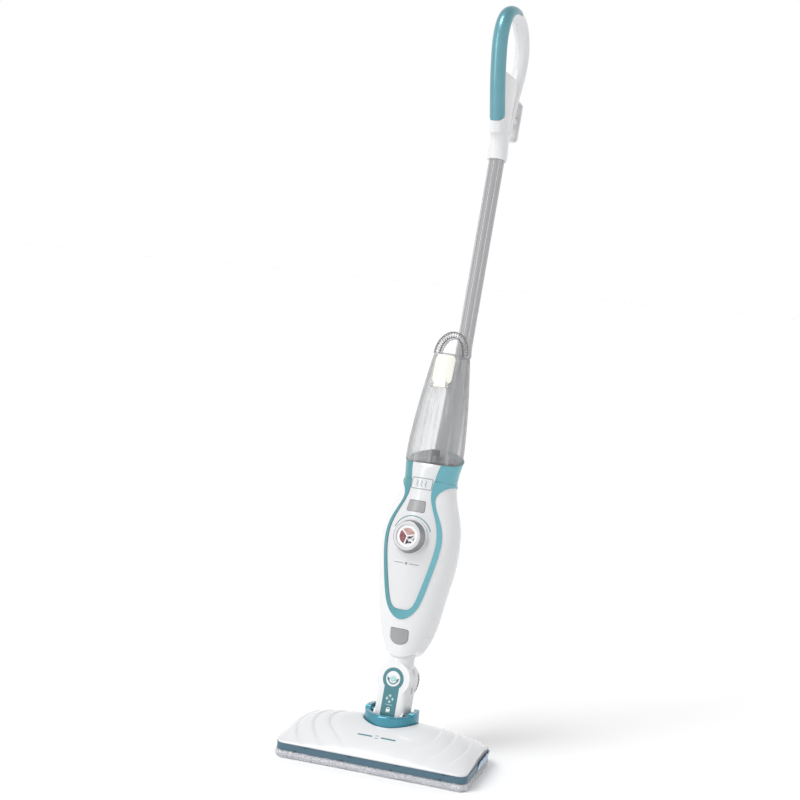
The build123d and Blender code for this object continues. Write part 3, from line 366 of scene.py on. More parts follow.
def clearTank():
    # clear plastic with a slightly uneven wall, with painted shade on its rims and painted reflections in
    # streaks
    finish = Finish("clearPaintedRimsAndStreaks", (0.86, 0.875, 0.885), IOR=1.25, Specular_IOR_Level=0.3)
    haze = finish.noise(22.0, 3.0)
    # painted shade: pale grey where the wall faces the view, near black and more opaque towards its rims
    paintedRimShade = finish.add("ShaderNodeLayerWeight", {}, {"Blend": 0.30}).out("Facing")
    finish.set("Base Color", finish.blend(paintedRimShade, (0.62, 0.63, 0.64), (0.035, 0.035, 0.038)))
    # painted reflections: stretched streaks that raise the opacity, light face-on and dark near the rims
    paintedReflectionStreaks = finish.noise(1.0, 3.0, 0.6, finish.turned((95.0, 95.0, 3.0)))
    finish.set("Alpha", 0.08 + paintedRimShade * 0.85 + (paintedReflectionStreaks > 0.56) * 0.20 + haze * 0.04)
    finish.set("Roughness", 0.05 + haze * 0.06)
    finish.bump(haze, 0.08, 0.0004)
    return finish.material


def woodSector():
    finish = Finish("woodInlay", (0.78, 0.60, 0.55), Coat_Weight=0.15, Coat_Roughness=0.1)
    rings = finish.noise(60.0, 4.0, 0.6, finish.stretch((1.0, 1.0, 6.0)))
    ramp = finish.add("ShaderNodeValToRGB", {"stops": [
        (0.30, (0.20, 0.09, 0.08)), (0.45, (0.40, 0.24, 0.22)), (0.7, (0.52, 0.36, 0.33)),
    ]}, {0: rings})
    finish.set("Base Color", ramp.out(0))
    finish.set("Roughness", 0.45 + rings * 0.2)
    return finish.material


def tileSector():
    finish = Finish("tileInlay", (0.30, 0.06, 0.08), Coat_Weight=0.15, Coat_Roughness=0.1)
    clay = finish.noise(500.0, 4.0)
    grid = finish.cells(220.0, feature="DISTANCE_TO_EDGE")
    grout = grid.out("Distance") > 0.06
    body = finish.blend(clay, (0.10, 0.012, 0.02), (0.22, 0.05, 0.06))
    finish.set("Base Color", finish.blend(grout, (0.28, 0.12, 0.12), body))
    finish.set("Roughness", 0.45 + clay * 0.2)
    return finish.material


def stoneSector():
    finish = Finish("stoneInlay", (0.2, 0.2, 0.2), Coat_Weight=0.15, Coat_Roughness=0.1)
    chips = finish.noise(240.0, 3.0, 0.6)
    ramp = finish.add("ShaderNodeValToRGB", {"stops": [
        (0.47, (0.012, 0.012, 0.015)), (0.53, (0.12, 0.12, 0.13)), (0.57, (0.62, 0.62, 0.62)),
    ]}, {0: chips})
    finish.set("Base Color", ramp.out(0))
    finish.set("Roughness", 0.45 + chips * 0.15)
    return finish.material


def pileFabric(name, colour, shadow, scale=420.0, rough=0.95):
    # looped microfibre: bright loop tops over darker roots
    finish = Finish(name, colour, Sheen_Weight=0.35, Sheen_Roughness=0.5)
    loops = finish.cells(scale).out("Distance")
    cloud = finish.noise(30.0, 3.0)
    finish.set("Base Color", finish.blend(loops * 0.7 + cloud * 0.3, colour, shadow))
    finish.set("Roughness", rough - cloud * 0.1)
    finish.bump(1 - loops, 0.6, 0.0008)
    return finish.material


def wovenFabric(name, colour, shadow, pitch=900.0):
    finish = Finish(name, colour, Sheen_Weight=0.3)
    threads = {"Vector": finish.place, "Scale": pitch, "Distortion": 0.4}
    warp = finish.add("ShaderNodeTexWave", {}, threads).out(1)
    weft = finish.add("ShaderNodeTexWave", {"bands_direction": "Z"}, threads).out(1)
    weave = warp * weft
    finish.set("Base Color", finish.blend(weave, shadow, colour))
    finish.set("Roughness", 0.8 + weave * 0.1)
    finish.bump(weave, 0.4, 0.0003)
    return finish.material


def makeFinishes():
    white = (0.67, 0.675, 0.685)
    teal = (0.035, 0.20, 0.225)
    poleLines = (900.0, 900.0, 6.0)
    return {
        "white": moulded("glossWhite", white, 0.22, 0.5, vary=0.012),
        "panel": moulded("paleGreyPanel", (0.60, 0.605, 0.615), 0.28, 0.35, vary=0.015),
        # across=0.5 paints light on the teal trim, lighter towards the body's right side
        "teal": pearlPlastic("tealTrim", teal, (0.06, 0.27, 0.31), 0.2, across=0.5),
        "inlay": moulded("tealInlay", (0.03, 0.17, 0.20), 0.25, 0.3, vary=0.08),
        "ring": pearlPlastic("metallicTealRing", (0.02, 0.17, 0.24), (0.07, 0.34, 0.43), 0.6, 0.2),
        "grip": pearlPlastic("pearlTealGrip", (0.07, 0.23, 0.27), (0.15, 0.37, 0.43), 0.45, 0.28),
        "plate": moulded("slateBluePlate", (0.05, 0.115, 0.16), 0.35, 0.2, vary=0.06),
        "dark": moulded("darkPlastic", (0.05, 0.05, 0.055), 0.45, vary=0.1),
        "grey": moulded("satinGrey", (0.28, 0.28, 0.285), 0.3, 0.3, vary=0.04),
        "spine": moulded("paleGreySpine", (0.36, 0.36, 0.365), 0.35, 0.2, vary=0.03),
        "light": moulded("lightGrey", (0.62, 0.62, 0.63), 0.38, vary=0.03),
        "ivory": moulded("ivoryCap", (0.74, 0.73, 0.67), 0.3, 0.3, vary=0.015),
        "ink": moulded("greyInk", (0.24, 0.29, 0.30), 0.5, vary=0.05),
        "tealInk": moulded("tealInk", (0.06, 0.22, 0.24), 0.5, vary=0.05),
        "paleTealInk": moulded("paleTealInk", (0.42, 0.62, 0.64), 0.5, vary=0.05),
        "smoke": moulded("smokeGreyInk", (0.09, 0.09, 0.095), 0.4, vary=0.1),
        "whiteInk": moulded("whiteInk", (0.80, 0.88, 0.88), 0.5, vary=0.03),
        "silver": drawnMetal("satinSilver", (0.34, 0.34, 0.35), (300.0, 300.0, 300.0), 0.32),
        "pole": drawnMetal("drawnAluminium", (0.44, 0.44, 0.45), poleLines, 0.34),
        "steel": drawnMetal("zincSteel", (0.56, 0.56, 0.57), (500.0, 500.0, 500.0), 0.35),
        "cast": drawnMetal("castAluminium", (0.5, 0.5, 0.51), (150.0, 150.0, 150.0), 0.5),
        "clear": clearTank(),
        "wood": woodSector(), "tile": tileSector(), "stone": stoneSector(),
        "pile": pileFabric("loopedMicrofibre", (0.84, 0.85, 0.87), (0.46, 0.47, 0.51)),
        "cuff": wovenFabric("cuffBinding", (0.58, 0.68, 0.80), (0.44, 0.54, 0.68)),
        "hook": wovenFabric("hookTape", (0.20, 0.24, 0.28), (0.10, 0.12, 0.15)),
        "rubber": moulded("greyRubber", (0.25, 0.25, 0.26), 0.65, vary=0.06),
        "silicone": moulded("siliconeHose", (0.70, 0.68, 0.62), 0.5, vary=0.04),
        "board": moulded("circuitBoard", (0.03, 0.16, 0.08), 0.4, vary=0.15),
    }


nodeFinish = {
    "white": ["neck_front", "neck_rear", "neck_badge", "housing_front", "housing_rear",
              "handle_left", "handle_right", "dial_face", "head_cover", "detent_cheeks"],
    "panel": ["front_panel"], "teal": ["trim_band", "tank_collar"], "inlay": ["neck_inlay"],
    "ring": ["swivel_ring"], "grip": ["grip_insert"], "plate": ["base_plate"],
    "dark": ["thermostat", "rotary_switch", "pump", "tank_valve"],
    "grey": ["steam_button", "release_button", "pole_catch"], "ink": ["badge_frame"],
    "spine": ["spine", "tank_seat", "inner_frame", "tank_inlet"],
    "light": ["hook_boss", "upper_hook", "lower_hook", "steam_manifold", "hub_retainer"],
    "ivory": ["tank_cap"], "silver": ["dial_bezel"], "pole": ["pole"],
    "steel": ["head_screws", "neck_screws", "housing_screws", "handle_screws", "tilt_axles",
              "cap_pin", "catch_spring"],
    "cast": ["boiler"], "clear": ["tank_shell"], "wood": ["sector_wood"], "tile": ["sector_tile"],
    "stone": ["sector_stone"], "pile": ["mop_pad"], "cuff": ["pad_cuffs"], "hook": ["hook_strips"],
    "rubber": ["cord_gland"], "silicone": ["steam_hose", "feed_hose"], "board": ["circuit_board"],
}


def dressNodes():
    for key, names in nodeFinish.items():
        for name in names:
            item = nodes[name]
            item.data.materials.clear()
            item.data.materials.append(finishes[key])
    print("node finishes set")


# head cover: a low dome with ripples round the swivel ring
cover = {
    "lip": 2.0, "crest": 41.0, "wall": 2.6, "frontCorner": 14.0, "rearCorner": 22.0, "taper": 9.0,
    "wellRadius": 42.8, "wellFloor": 36.6, "boreRadius": 20.1, "rimRadius": 1.6,
    "rippleStart": 62.0, "ripplePitch": 24.0, "rippleHeight": 2.6, "rippleWave": 5.0,
    "rings": 70, "cornerSteps": 14, "edgeStep": 4.0, "inset": 0.1,
    "domePower": 0.96, "rippleCentre": 0.5, "rippleSquash": 0.82, "rippleLobes": 5.0, "rippleReach": 90,
    "edgeFade": 3.2, "endFade": 14, "startFade": 1.5, "sideFade": 1.6,
    "scallopPower": 1.6, "scallopDrop": 0.86,
}
# how high the cover's ridge is, as a share of its crest, from the middle to either end
riseStops = [
    (0.0, 1.0), (0.2, 0.99), (0.42, 0.955), (0.65, 0.875),
    (0.84, 0.70), (0.94, 0.49), (0.985, 0.28), (1.0, 0.16),
]


def riseAt(share):
    for (a, low), (b, high) in zip(riseStops, riseStops[1:]):
        if share <= b:
            t = (share - a) / (b - a)
            return low + (high - low) * t
    return riseStops[-1][1]


def headOutline(front, rear, half):
    # evenly stepped outline of the head's plan, rounded at the corners, in millimetres
    s = cover
    back = half - s["taper"]
    lean = atan2(s["taper"], rear - front)
    corners = [
        (half - s["frontCorner"] - 1.0, front + s["frontCorner"], s["frontCorner"], -pi / 2, lean),
        (back - s["rearCorner"] + 1.5, rear - s["rearCorner"], s["rearCorner"], lean, pi / 2),
    ]
    right = []
    for x, y, radius, start, end in corners:
        for i in range(s["cornerSteps"] + 1):
            angle = start + (end - start) * i / s["cornerSteps"]
            right.append((x + radius * cos(angle), y + radius * sin(angle)))
    loop = right + [(-x, y) for x, y in reversed(right)]
    points = []
    for (ax, ay), (bx, by) in zip(loop, loop[1:] + loop[:1]):
        pieces = max(1, int(hypot(bx - ax, by - ay) / s["edgeStep"]))
        points += [(ax + (bx - ax) * i / pieces, ay + (by - ay) * i / pieces) for i in range(pieces)]
    return points


def coverHeight(x, y, front, rear, half, base):
    s = cover
    share = min(1.0, abs(x) / half)
    middle = (front + rear) / 2
    v = min(1.0, abs(y - middle) / ((rear - front) / 2))
    z = s["lip"] + (s["crest"] * riseAt(share) - s["lip"]) * (1 - v ** 2) ** s["domePower"]
    distance = hypot(x, (y - middle * s["rippleCentre"]) * s["rippleSquash"])
    angle = atan2(y - middle, abs(x))
    wave = s["rippleWave"] * sin(angle * s["rippleLobes"])
    wavy = distance + wave * min(1.0, distance / s["rippleReach"])
    phase = (wavy - s["rippleStart"]) / s["ripplePitch"]
    if phase > 0:
        edge = min(1.0, (1 - v) * s["edgeFade"]) * min(1.0, (1 - share) * s["endFade"])
        edge *= min(1.0, phase * s["startFade"])
        scallop = phase % 1.0
        side = min(1.0, (abs(x) / half) * s["sideFade"])
        drop = 1 - max(0.0, scallop - s["scallopDrop"]) / (1 - s["scallopDrop"])
        z -= s["rippleHeight"] * edge * side * (scallop ** s["scallopPower"]) * drop
    return base + z


def makeCover():
    s = cover
    front, rear, half, base = planBox(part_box("head_cover"))
    rear = min(rear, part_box("base_plate")[1][1] / mm)
    outline = headOutline(front + s["inset"], rear - s["inset"], half - s["inset"])
    angles = [atan2(y, x) for x, y in outline]
    count = len(outline)
    rows = []
    for radius, z in ((s["boreRadius"], s["wellFloor"]), (s["wellRadius"] - 2, s["wellFloor"]),
                      (s["wellRadius"], s["wellFloor"] + 1.5)):
        rows.append([(radius * cos(a), radius * sin(a), z) for a in angles])
    for i in range(s["rings"] + 1):
        t = i / s["rings"]
        radius = s["wellRadius"] + (s["rimRadius"] if i else 0.0)
        drop = 0.0 if i else s["rimRadius"]
        row = []
        for (x, y), a in zip(outline, angles):
            hx, hy = radius * cos(a), radius * sin(a)
            px, py = hx + (x - hx) * t, hy + (y - hy) * t
            row.append((px, py, coverHeight(px, py, front, rear, half, base) - drop))
        rows.append(row)
    rows.append([(x, y, base) for x, y in outline])
    points = [Vector(point) * mm for row in rows for point in row]
    faces = []
    for r in range(len(rows) - 1):
        for i in range(count):
            j = (i + 1) % count
            faces.append((r * count + i, r * count + j, (r + 1) * count + j, (r + 1) * count + i))
    item = meshObject("rippledCover", points, faces)
    tidyNormals(item)
    if item.data.polygons[len(faces) // 2].normal.z < 0:
        item.data.flip_normals()
    thicken(item, "wall", s["wall"], -1)
    bakeModifiers(item)
    shadeFaces(item)
    finishPiece(item, "head", finishes["white"], ["head_cover"])
    print("cover made")


# mop pad: a plump slab of looped pile, pressed flat where it meets the plate and the floor
pad = {
    "grow": 1.2, "voxel": 4.5, "pressure": 4.0, "cap": 2.2, "seed": 7, "frames": 20,
    "floorGap": 0.2, "plateGap": 0.1, "loopSpacing": 1.9, "loopRadius": 1.6, "loopThick": 0.6,
    "loopFloor": 1.2, "flatNormal": 0.86, "density": 400000.0, "arcSteps": 6, "threadSides": 4,
    "arcOver": 0.5, "smallest": 0.7, "largest": 1.2,
}


def nodeCopy(name):
    item = addObject(name + "Copy", nodes[name].data.copy())
    item.data.materials.clear()
    tidyNormals(item, 1e-5)
    return item


def makePad():
    s = pad
    low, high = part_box("mop_pad")
    item = nodeCopy("mop_pad")
    item.name = "loopedPad"
    centre = (Vector(low) + Vector(high)) / 2
    for point in item.data.vertices:
        for axis in (0, 1):
            span = high[axis] - low[axis]
            point.co[axis] = centre[axis] + (point.co[axis] - centre[axis]) * (1 + 2 * s["grow"] * mm / span)
    remesh = item.modifiers.new("even", "REMESH")
    remesh.mode = "VOXEL"
    remesh.voxel_size = s["voxel"] * mm
    bakeModifiers(item)
    start = [point.co.copy() for point in item.data.vertices]
    plump(item)
    for point, first in zip(item.data.vertices, start):
        move = point.co - first
        if move.length > s["cap"] * mm:
            move = move.normalized() * (s["cap"] * mm)
        point.co = first + move
        point.co.z = min(max(point.co.z, s["floorGap"] * mm), high[2] - s["plateGap"] * mm)
    soften(item, "smooth")
    bakeModifiers(item)
    shadeFaces(item)
    joinInto(item, makeLoops(item))
    for point in item.data.vertices:
        point.co.z = max(point.co.z, 0.0)
    item.data.materials.clear()
    finishPiece(item, "head", finishes["pile"], ["mop_pad"])
    print("pad made:", len(item.data.polygons), "faces")


def plump(item):
    scene = bpy.context.scene
    cloth = item.modifiers.new("plump", "CLOTH")
    cloth.settings.use_pressure = True
    cloth.settings.uniform_pressure_force = pad["pressure"]
    cloth.settings.effector_weights.gravity = 0
    cloth.point_cache.frame_start = 1
    cloth.point_cache.frame_end = pad["frames"]
    for step in range(1, pad["frames"] + 1):
        scene.frame_set(step)
    bakeModifiers(item)
    scene.frame_set(1)


def joinInto(item, other):
    work = bmesh.new()
    work.from_mesh(item.data)
    work.from_mesh(other.data)
    work.to_mesh(item.data)
    work.free()
    bpy.data.objects.remove(other)
    shadeFaces(item)


def nodeTree(name, inputs):
    # a geometry tree with named inputs; returns it and a helper that adds a linked node
    tree = bpy.data.node_groups.new(name, "GeometryNodeTree")
    tree.interface.new_socket("Geometry", in_out="INPUT", socket_type="NodeSocketGeometry")
    for label, kind in inputs.items():
        tree.interface.new_socket(label, in_out="INPUT", socket_type="NodeSocket" + kind)
    tree.interface.new_socket("Geometry", in_out="OUTPUT", socket_type="NodeSocketGeometry")
    start = tree.nodes.new("NodeGroupInput")
    end = tree.nodes.new("NodeGroupOutput")

    def add(kind, settings=None, links=None):
        node = tree.nodes.new(kind)
        for key, value in (settings or {}).items():
            setattr(node, key, value)
        for key, value in (links or {}).items():
            if isinstance(value, bpy.types.NodeSocket):
                tree.links.new(value, node.inputs[key])
            else:
                node.inputs[key].default_value = value
        return node

    return tree, start, end, add


def growTree(item, tree, values):
    # runs the tree on the piece and leaves a plain mesh
    live = item.modifiers.new(tree.name, "NODES")
    live.node_group = tree
    for socket in tree.interface.items_tree:
        if socket.in_out == "INPUT" and socket.name in values:
            live[socket.identifier] = values[socket.name]
    return bakeModifiers(item)


def makeLoops(base):
    s = pad
    tree, start, end, add = nodeTree("pileLoops", {
        "Spacing": "Float", "Loop Radius": "Float", "Loop Thickness": "Float",
        "Seed": "Int", "Material": "Material"})
    normal = add("GeometryNodeInputNormal")
    apart = add("ShaderNodeSeparateXYZ", {}, {0: normal.outputs[0]})
    facing = add("ShaderNodeMath", {"operation": "ABSOLUTE"}, {0: apart.outputs["Z"]})
    place = add("GeometryNodeInputPosition")
    height = add("ShaderNodeSeparateXYZ", {}, {0: place.outputs[0]})
    side = add("FunctionNodeCompare", {"operation": "LESS_THAN"}, {
        0: facing.outputs[0], 1: s["flatNormal"]})
    lifted = add("FunctionNodeCompare", {"operation": "GREATER_THAN"}, {
        0: height.outputs["Z"], 1: s["loopFloor"] * mm})
    both = add("FunctionNodeBooleanMath", {}, {0: side.outputs[0], 1: lifted.outputs[0]})
    scatter = add("GeometryNodeDistributePointsOnFaces", {"distribute_method": "POISSON"}, {
        "Mesh": start.outputs["Geometry"], "Selection": both.outputs[0],
        "Distance Min": start.outputs["Spacing"], "Density Max": s["density"], "Seed": start.outputs["Seed"]})
    arc = add("GeometryNodeCurveArc", {}, {
        "Resolution": s["arcSteps"], "Radius": start.outputs["Loop Radius"],
        "Start Angle": -s["arcOver"], "Sweep Angle": pi + 2 * s["arcOver"]})
    stand = add("GeometryNodeTransform", {}, {"Geometry": arc.outputs[0], "Rotation": (pi / 2, 0.0, 0.0)})
    thread = add("GeometryNodeCurvePrimitiveCircle", {}, {
        "Resolution": s["threadSides"], "Radius": start.outputs["Loop Thickness"]})
    yarn = add("GeometryNodeCurveToMesh", {}, {
        "Curve": stand.outputs[0], "Profile Curve": thread.outputs[0], "Fill Caps": True})
    spin = add("FunctionNodeRandomValue", {"data_type": "FLOAT"}, {
        2: 0.0, 3: 2 * pi, "Seed": start.outputs["Seed"]})
    turn = add("ShaderNodeCombineXYZ", {}, {2: spin.outputs[1]})
    rotated = add("FunctionNodeRotateRotation", {"rotation_space": "LOCAL"}, {
        0: scatter.outputs["Rotation"], 1: turn.outputs[0]})
    size = add("FunctionNodeRandomValue", {"data_type": "FLOAT"}, {
        2: s["smallest"], 3: s["largest"], "Seed": start.outputs["Seed"]})
    put = add("GeometryNodeInstanceOnPoints", {}, {
        "Points": scatter.outputs["Points"], "Instance": yarn.outputs[0], "Rotation": rotated.outputs[0],
        "Scale": size.outputs[1]})
    real = add("GeometryNodeRealizeInstances", {}, {0: put.outputs[0]})
    dressed = add("GeometryNodeSetMaterial", {}, {
        "Geometry": real.outputs[0], "Material": start.outputs["Material"]})
    tree.links.new(dressed.outputs[0], end.inputs[0])
    loops = addObject("pileLoops", base.data.copy())
    return growTree(loops, tree, {
        "Spacing": s["loopSpacing"] * mm, "Loop Radius": s["loopRadius"] * mm,
        "Loop Thickness": s["loopThick"] * mm, "Seed": s["seed"], "Material": finishes["pile"]})


# pad cuffs: scalloped tape that folds up over the head's rear corners
cuff = {
    "wall": 1.5, "gap": 0.9, "foot": 11.5, "top": 21.0, "scallop": 5.0, "pitch": 19.0,
    "front": -22.0, "inner": 104.0, "flare": 3.2, "rows": 8, "step": 1.5,
}


def makeCuffs():
    s = cuff
    outline = headOutline(*planBox(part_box("base_plate"))[:3])
    width = s["rows"] + 1
    points, faces = [], []
    for side in (1, -1):
        path = [(x, y) for x, y in outline if side * x > s["inner"] and y > s["front"]]
        path.sort(key=lambda point: atan2(point[1], side * point[0]))
        fine = []
        for (ax, ay), (bx, by) in zip(path, path[1:]):
            steps = max(1, int(hypot(bx - ax, by - ay) / s["step"]))
            fine += [(ax + (bx - ax) * k / steps, ay + (by - ay) * k / steps) for k in range(steps)]
        base, walked = len(points), 0.0
        for i, (x, y) in enumerate(fine):
            bx, by = fine[min(i + 1, len(fine) - 1)]
            ax, ay = fine[max(i - 1, 0)]
            length = hypot(bx - ax, by - ay) or 1.0
            nx, ny = side * (by - ay) / length, -side * (bx - ax) / length
            walked += length / 2
            wave = abs(sin(walked * pi / s["pitch"]))
            top = s["top"] + s["scallop"] * wave
            for k in range(width):
                u = k / s["rows"]
                out = s["gap"] + s["flare"] * u * u * (0.5 + wave * 0.5)
                points.append(Vector((x + nx * out, y + ny * out, s["foot"] + (top - s["foot"]) * u)) * mm)
        for i in range(len(fine) - 1):
            for k in range(s["rows"]):
                a = base + i * width + k
                b = a + width
                faces.append((a, b, b + 1, a + 1) if side > 0 else (a, a + 1, b + 1, b))
    item = meshObject("scallopedCuffs", points, faces)
    thicken(item, "tape", s["wall"], 0)
    soften(item, "soft")
    bakeModifiers(item)
    finishPiece(item, "head", finishes["cuff"], ["pad_cuffs"])
    print("cuffs made")


# printed marks, laid on the mouldings as thin ink
def surfaceOf(names):
    points, faces = [], []
    for name in names:
        mesh = nodes[name].data
        base = len(points)
        points += [point.co.copy() for point in mesh.vertices]
        faces += [tuple(base + i for i in face.vertices) for face in mesh.polygons]
    return BVHTree.FromPolygons(points, faces)


printing = {"reach": 200.0, "fallback": 150.0, "proud": 0.12, "ink": 0.3, "sunk": -0.6, "pinhole": 0.02}


class Print:
    # gathers flat shapes drawn across and along the body, then presses them on a surface
    def __init__(self, name):
        self.surface = surfaceOf([name])
        self.slot = name
        self.points = []
        self.faces = []

    def land(self, x, s):
        start = bodyPoint(x, 0, s) - bodyY * (printing["reach"] * mm)
        hit = self.surface.ray_cast(start, bodyY)[0] or start + bodyY * (printing["fallback"] * mm)
        return hit - bodyY * (printing["proud"] * mm)

    def quadStrip(self, left, right):
        base = len(self.points)
        for a, b in zip(left, right):
            self.points += [self.land(*a), self.land(*b)]
        for i in range(len(left) - 1):
            k = base + 2 * i
            self.faces.append((k, k + 1, k + 3, k + 2))

    def line(self, path, width):
        left, right = [], []
        for i, (x, s) in enumerate(path):
            (ax, ay), (bx, by) = path[max(i - 1, 0)], path[min(i + 1, len(path) - 1)]
            length = hypot(bx - ax, by - ay)
            nx, ny = -(by - ay) / length * width / 2, (bx - ax) / length * width / 2
            left.append((x + nx, s + ny))
            right.append((x - nx, s - ny))
        self.quadStrip(left, right)

    def arc(self, x, s, radius, width, start, end, steps=40):
        turns = [radians(start + (end - start) * i / steps) for i in range(steps + 1)]
        self.line([(x + radius * cos(a), s + radius * sin(a)) for a in turns], width)

    def disc(self, x, s, radius, steps=32):
        self.arc(x, s, radius / 2, radius - printing["pinhole"], 0, 360, steps)

    def wedge(self, tip, foot, width):
        (tx, ts), (fx, fs) = tip, foot
        length = hypot(fx - tx, fs - ts)
        nx, ny = -(fs - ts) / length * width / 2, (fx - tx) / length * width / 2
        blunt = printing["pinhole"]
        far = [(tx + nx * blunt, ts + ny * blunt), (fx - nx, fs - ny)]
        self.quadStrip([(tx, ts), (fx + nx, fs + ny)], far)

    def press(self, name, finish):
        item = meshObject(name, self.points, self.faces)
        for face in item.data.polygons:
            if face.normal.dot(bodyY) > 0:
                face.flip()
        item.data.update()
        thicken(item, "ink", printing["ink"], printing["sunk"])
        bakeModifiers(item)
        finishPiece(item, "mop", finishes[finish])


panelMarks = {
    "arcRadius": 32.0, "arcWidth": 1.3, "arcFrom": 22, "arcTo": 158, "arcSteps": 60, "dialAt": 277.0,
    "waveShifts": (-7.0, 0.0, 7.0), "waveSwing": 1.2, "waveTurn": 0.55, "waveFoot": 355.0, "waveStep": 0.5,
    "wavePoints": 21, "stroke": 1.1, "ruleAt": 236.0, "rules": ((-20, -5), (5, 20)), "ruleDot": 2.0,
}


def printPanel():
    # an arc over the dial, three waves of steam in the badge's frame, and a rule below the dial
    s = panelMarks
    dial = Print("front_panel")
    dial.arc(0, s["dialAt"], s["arcRadius"], s["arcWidth"], s["arcFrom"], s["arcTo"], s["arcSteps"])
    dial.press("dialArc", "tealInk")
    steam = Print("front_panel")
    for shift in s["waveShifts"]:
        steam.line([(shift + s["waveSwing"] * sin(i * s["waveTurn"]), s["waveFoot"] + i * s["waveStep"])
                    for i in range(s["wavePoints"])], s["stroke"])
    for first, last in s["rules"]:
        steam.line([(i, s["ruleAt"]) for i in range(first, last + 1)], s["stroke"])
    steam.disc(0, s["ruleAt"], s["ruleDot"])
    steam.press("steamMarks", "ink")


badgeMarks = {
    "at": 60.0, "arcRadius": 7.4, "arcWidth": 2.0, "arcFrom": 198, "arcTo": 342,
    "tipOut": 9.9, "footOut": 6.6, "tipRise": 2.2, "wedgeWidth": 5.0,
    "middleRise": 0.6, "middleRadius": 4.8,
}


def printBadge():
    # a double-ended arrow under a disc, for the swivel
    s = badgeMarks
    badge = Print("neck_badge")
    badge.arc(0, s["at"], s["arcRadius"], s["arcWidth"], s["arcFrom"], s["arcTo"])
    for side in (-1, 1):
        tip = (side * s["tipOut"], s["at"] + s["tipRise"])
        badge.wedge(tip, (side * s["footOut"], s["at"] - s["tipRise"]), s["wedgeWidth"])
    badge.press("badgeArrow", "tealInk")
    middle = Print("neck_badge")
    middle.disc(0, s["at"] + s["middleRise"], s["middleRadius"])
    middle.press("badgeMiddle", "paleTealInk")


neckMarks = {
    "arrowsAt": 29.5, "tip": 6.2, "barb": 3.2, "barbLean": 0.75, "barbWidth": 1.0,
    "stemFrom": 2.2, "stemTo": 4.6, "stemWidth": 0.8, "lineAt": 20.5, "lineHalf": 6,
    "lineWidth": 0.5, "lockAt": 11.5, "lockRows": (-3.0, -0.5, 2.2),
    "lockWidth": 6.4, "shackleRise": 2.4, "shackleRadius": 2.3, "shackleWidth": 1.0, "shackleSteps": 14,
}


def printNeck():
    # four arrows pointing outward, a line and a padlock
    s = neckMarks
    strip = Print("neck_inlay")
    for turn in (0, 90, 180, 270):
        a = radians(turn)
        tipX, tipS = s["tip"] * cos(a), s["arrowsAt"] + s["tip"] * sin(a)
        for lean in (-s["barbLean"], s["barbLean"]):
            backX, backS = tipX - s["barb"] * cos(a + lean), tipS - s["barb"] * sin(a + lean)
            middle = ((tipX + backX) / 2, (tipS + backS) / 2)
            strip.line([(tipX, tipS), middle, (backX, backS)], s["barbWidth"])
        stem = [(reach * cos(a), s["arrowsAt"] + reach * sin(a)) for reach in (s["stemFrom"], s["stemTo"])]
        strip.line(stem, s["stemWidth"])
    strip.line([(i, s["lineAt"]) for i in range(-s["lineHalf"], s["lineHalf"] + 1)], s["lineWidth"])
    strip.line([(0, s["lockAt"] + row) for row in s["lockRows"]], s["lockWidth"])
    shackleAt = s["lockAt"] + s["shackleRise"]
    strip.arc(0, shackleAt, s["shackleRadius"], s["shackleWidth"], 0, 180, s["shackleSteps"])
    strip.press("neckSymbols", "whiteInk")


# detent teeth on the neck's sides
teeth = {
    "count": 7, "radius": 14.6, "from": -62, "to": 52, "length": 3.6, "thick": 1.5, "rise": 0.25, "sunk": 0.4,
    "centre": (3.6, 60.0), "outside": 60, "fallback": 26,
}


def makeTeeth():
    s = teeth
    points, faces = [], []
    surface = surfaceOf(["detent_cheeks", "neck_rear", "neck_front"])
    for side in (1, -1):
        toward = -bodyX * side
        for i in range(s["count"]):
            turn = radians(s["from"] + (s["to"] - s["from"]) * i / (s["count"] - 1))
            y, z = s["centre"][0] + s["radius"] * cos(turn), s["centre"][1] + s["radius"] * sin(turn)
            k = len(points)
            for a, b in ((-1, -1), (1, -1), (1, 1), (-1, 1)):
                dy = a * s["length"] / 2 * cos(turn) - b * s["thick"] / 2 * sin(turn)
                dz = a * s["length"] / 2 * sin(turn) + b * s["thick"] / 2 * cos(turn)
                hit = surface.ray_cast(bodyPoint(side * s["outside"], y + dy, z + dz), toward)[0]
                hit = hit or bodyPoint(side * s["fallback"], y + dy, z + dz)
                points.append(hit - toward * s["rise"] * mm)
                points.append(hit + toward * s["sunk"] * mm)
            faces += [(k, k + 2, k + 4, k + 6), (k + 1, k + 7, k + 5, k + 3)]
            faces += [(k + j, k + j + 1, k + (j + 3) % 8, k + (j + 2) % 8) for j in (0, 2, 4, 6)]
    item = meshObject("detentTeeth", points, faces, False)
    tidyNormals(item, 1e-7)
    finishPiece(item, "mop", finishes["dark"])
    print("teeth made")


# tick marks and edge lines on the tank's carrying arch
arch = {
    "foot": 566.0, "front": -17.15, "half": 28.6, "rise": 37.0, "band": 10.0, "trim": 0.02, "steps": 60,
    "count": 21, "tick": (1.3, 3.0, 0.5), "tickInset": 2.3, "edgeInset": 0.6, "line": 0.6,
    "edgeFront": 0.35, "edgeBack": 1.2,
}


def archCurve(inset):
    s = arch
    path = []
    for i in range(s["steps"] + 1):
        a = pi * (s["trim"] + (1 - 2 * s["trim"]) * i / s["steps"])
        path.append(((s["half"] - inset) * cos(a), s["foot"] + (s["rise"] - inset) * sin(a)))
    return path


